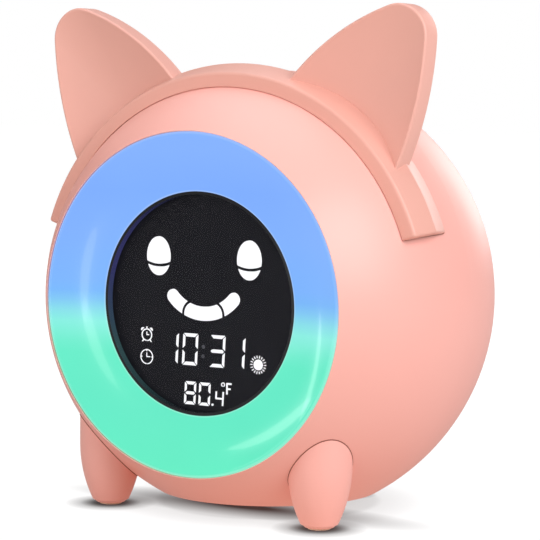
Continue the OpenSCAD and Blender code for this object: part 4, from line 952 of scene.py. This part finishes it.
# %% Floor light
SHEET_SEEN, SHEET_BOUNCE, SHEET_MIRRORED = 0.05, 0.08, 0.4
NEAR_LEFT, NEAR_RIGHT, FAR_BOUNCE = "#f08c5c", "#f0c8b2", "#d8cbc3"

rays = add(tree, "ShaderNodeLightPath").outputs
seen = add(tree, "ShaderNodeMath", {0: rays["Is Camera Ray"], 1: rays["Is Transmission Ray"]},
           operation="MAXIMUM")
shade = add(tree, "ShaderNodeMapRange", {"Value": seen, "To Min": SHEET_BOUNCE,
            "To Max": SHEET_SEEN})
tint = add(tree, "ShaderNodeCombineColor", {0: shade, 1: shade, 2: shade})
lift = add(tree, "ShaderNodeMix", {0: rays["Is Glossy Ray"], 2: fade, 3: SHEET_MIRRORED})
under = add(tree, "ShaderNodeMapRange", {"Value": away, "From Min": 0.03, "From Max": 0.12},
            interpolation_type="SMOOTHSTEP")
lit_side = add(tree, "ShaderNodeMapRange", {
    "Value": spot["X"], "From Min": -50 * MM, "From Max": 30 * MM, "To Min": 0.45,
    "To Max": 0.9}, interpolation_type="SMOOTHSTEP")
near = add(tree, "ShaderNodeMix", {0: lit_side, 6: linear(NEAR_LEFT), 7: linear(NEAR_RIGHT)},
           data_type="RGBA").outputs[2]
bounce = add(tree, "ShaderNodeMix", {0: under, 6: near, 7: linear(FAR_BOUNCE)},
             data_type="RGBA").outputs[2]
glow = add(tree, "ShaderNodeMix", {0: rays["Is Diffuse Ray"], 6: linear("#ffffff"), 7: bounce},
           data_type="RGBA").outputs[2]
lift = add(tree, "ShaderNodeMix", {0: rays["Is Diffuse Ray"], 2: lift, 3: lit_side})
end_material(tree, add(tree, "ShaderNodeBsdfPrincipled", {
    "Base Color": tint, "Roughness": 0.9, "Specular IOR Level": 0.1,
    "Emission Color": glow, "Emission Strength": lift}))
print("nodes in the sheet's material:", len(tree.nodes))

# %% [markdown]
# ## Backdrop and lamps
# The backdrop is white to the camera and gives the clock hardly any light. Large area lamps stand
# for the tent's lit walls: each one's reflection is part of how the ring and the ball look.

# %% World
WORLD_LIGHT = 0.05

world = bpy.data.worlds.new("Tent")
bpy.context.scene.world = world
world.use_nodes = True
tree = world.node_tree
tree.nodes.clear()
rays = add(tree, "ShaderNodeLightPath").outputs
seen = add(tree, "ShaderNodeMath", {0: rays["Is Camera Ray"], 1: rays["Is Transmission Ray"]},
           operation="MAXIMUM")
level = add(tree, "ShaderNodeMapRange", {"Value": seen, "To Min": WORLD_LIGHT})
backdrop = add(tree, "ShaderNodeBackground", {"Color": linear("#ffffff"), "Strength": level})
add(tree, "ShaderNodeOutputWorld", {"Surface": backdrop})
print("world:", world.name, "light on the clock:", WORLD_LIGHT)

# %% Large lamps
AIM = Vector((0.0, 0.0, 0.065))


def area_lamp(name, shape, width, height, watts):
    """An area lamp, not yet placed."""
    data = bpy.data.lights.new(name, "AREA")
    data.shape = shape
    data.size, data.size_y = width, height
    data.energy = watts
    return new_object(name, data)


def softbox(name, turn_deg, up_deg, distance, width, height, watts, tint="#ffffff"):
    """A lamp seen from the clock at an angle from straight ahead, turned towards it."""
    lamp = area_lamp(name, "RECTANGLE", width, height, watts)
    lamp.data.color = linear(tint)[:3]
    turn, up = math.radians(turn_deg), math.radians(up_deg)
    way = Vector((math.sin(turn) * math.cos(up), -math.cos(turn) * math.cos(up), math.sin(up)))
    lamp.location = AIM + way * distance
    lamp.rotation_euler = (-way).to_track_quat("-Z", "Y").to_euler()
    return lamp


softbox("Key at the right", 70, 29, 0.9, 0.6, 0.6, 7.2, "#fafcff")
for fill in (softbox("Fill at the left", -38, 25, 0.9, 0.7, 0.6, 3.0),
             softbox("Fill at the front", -8, 5, 0.9, 0.6, 0.4, 1.9, "#fff4ec")):
    fill.visible_glossy = False
softbox("Top", 0, 88, 0.9, 0.6, 0.6, 2.1, "#f8faff")
softbox("Low side", 100, 5, 0.9, 0.5, 0.4, 0.4)
softbox("Back left", -130, 60, 0.9, 0.55, 0.55, 1.5)
softbox("Back", 178, 14, 0.9, 0.35, 0.35, 1.6)

# %% Slim lamps
def strip(name, start, end, width, radiance):
    """A slim lamp between two points, made only to be mirrored in the ring."""
    start, end = Vector(start) * MM, Vector(end) * MM
    middle, length = (start + end) / 2, (end - start).length
    watts = radiance * math.pi ** 2 / 4 * length * width * MM
    lamp = area_lamp(name, "ELLIPSE", length, width * MM, watts)
    along = (end - start).normalized()
    facing = (Vector((0.0, front_y, axis_z)) - middle).normalized()
    across = along.cross(facing).normalized()
    turn = Matrix((along, across, along.cross(across))).transposed()
    if (turn @ Vector((0, 0, -1))).dot(facing) < 0:
        turn = Matrix((along, -across, along.cross(-across))).transposed()
    lamp.matrix_world = Matrix.Translation(middle) @ turn.to_4x4()
    lamp.visible_diffuse = False
    return lamp


for width, radiance in ((16, 1.7), (8, 1.5)):
    strip("Left strip, upright", (-45, -200, 17), (-42, -200, 52), width, radiance)
    strip("Left strip, slanted", (-40, -200, 46), (-63, -200, 66), width, radiance)
strip("Right strip, lower", (-356, -182, 17), (-352, -150, 116), 22, 2.6)
strip("Right strip, upper", (-361, -141, 92), (-274, -301, 175), 25, 2.6)
# The last large lamp lights the back of the clock, and is mirrored nowhere.
softbox("Behind", -149, 14, 0.9, 0.7, 0.6, 5.0).visible_glossy = False

# %% [markdown]
# ## Finishing
# The view is left at the Standard transform, so that colours come out as they are written.

# %% Finish
bpy.context.scene.view_settings.view_transform = "Standard"
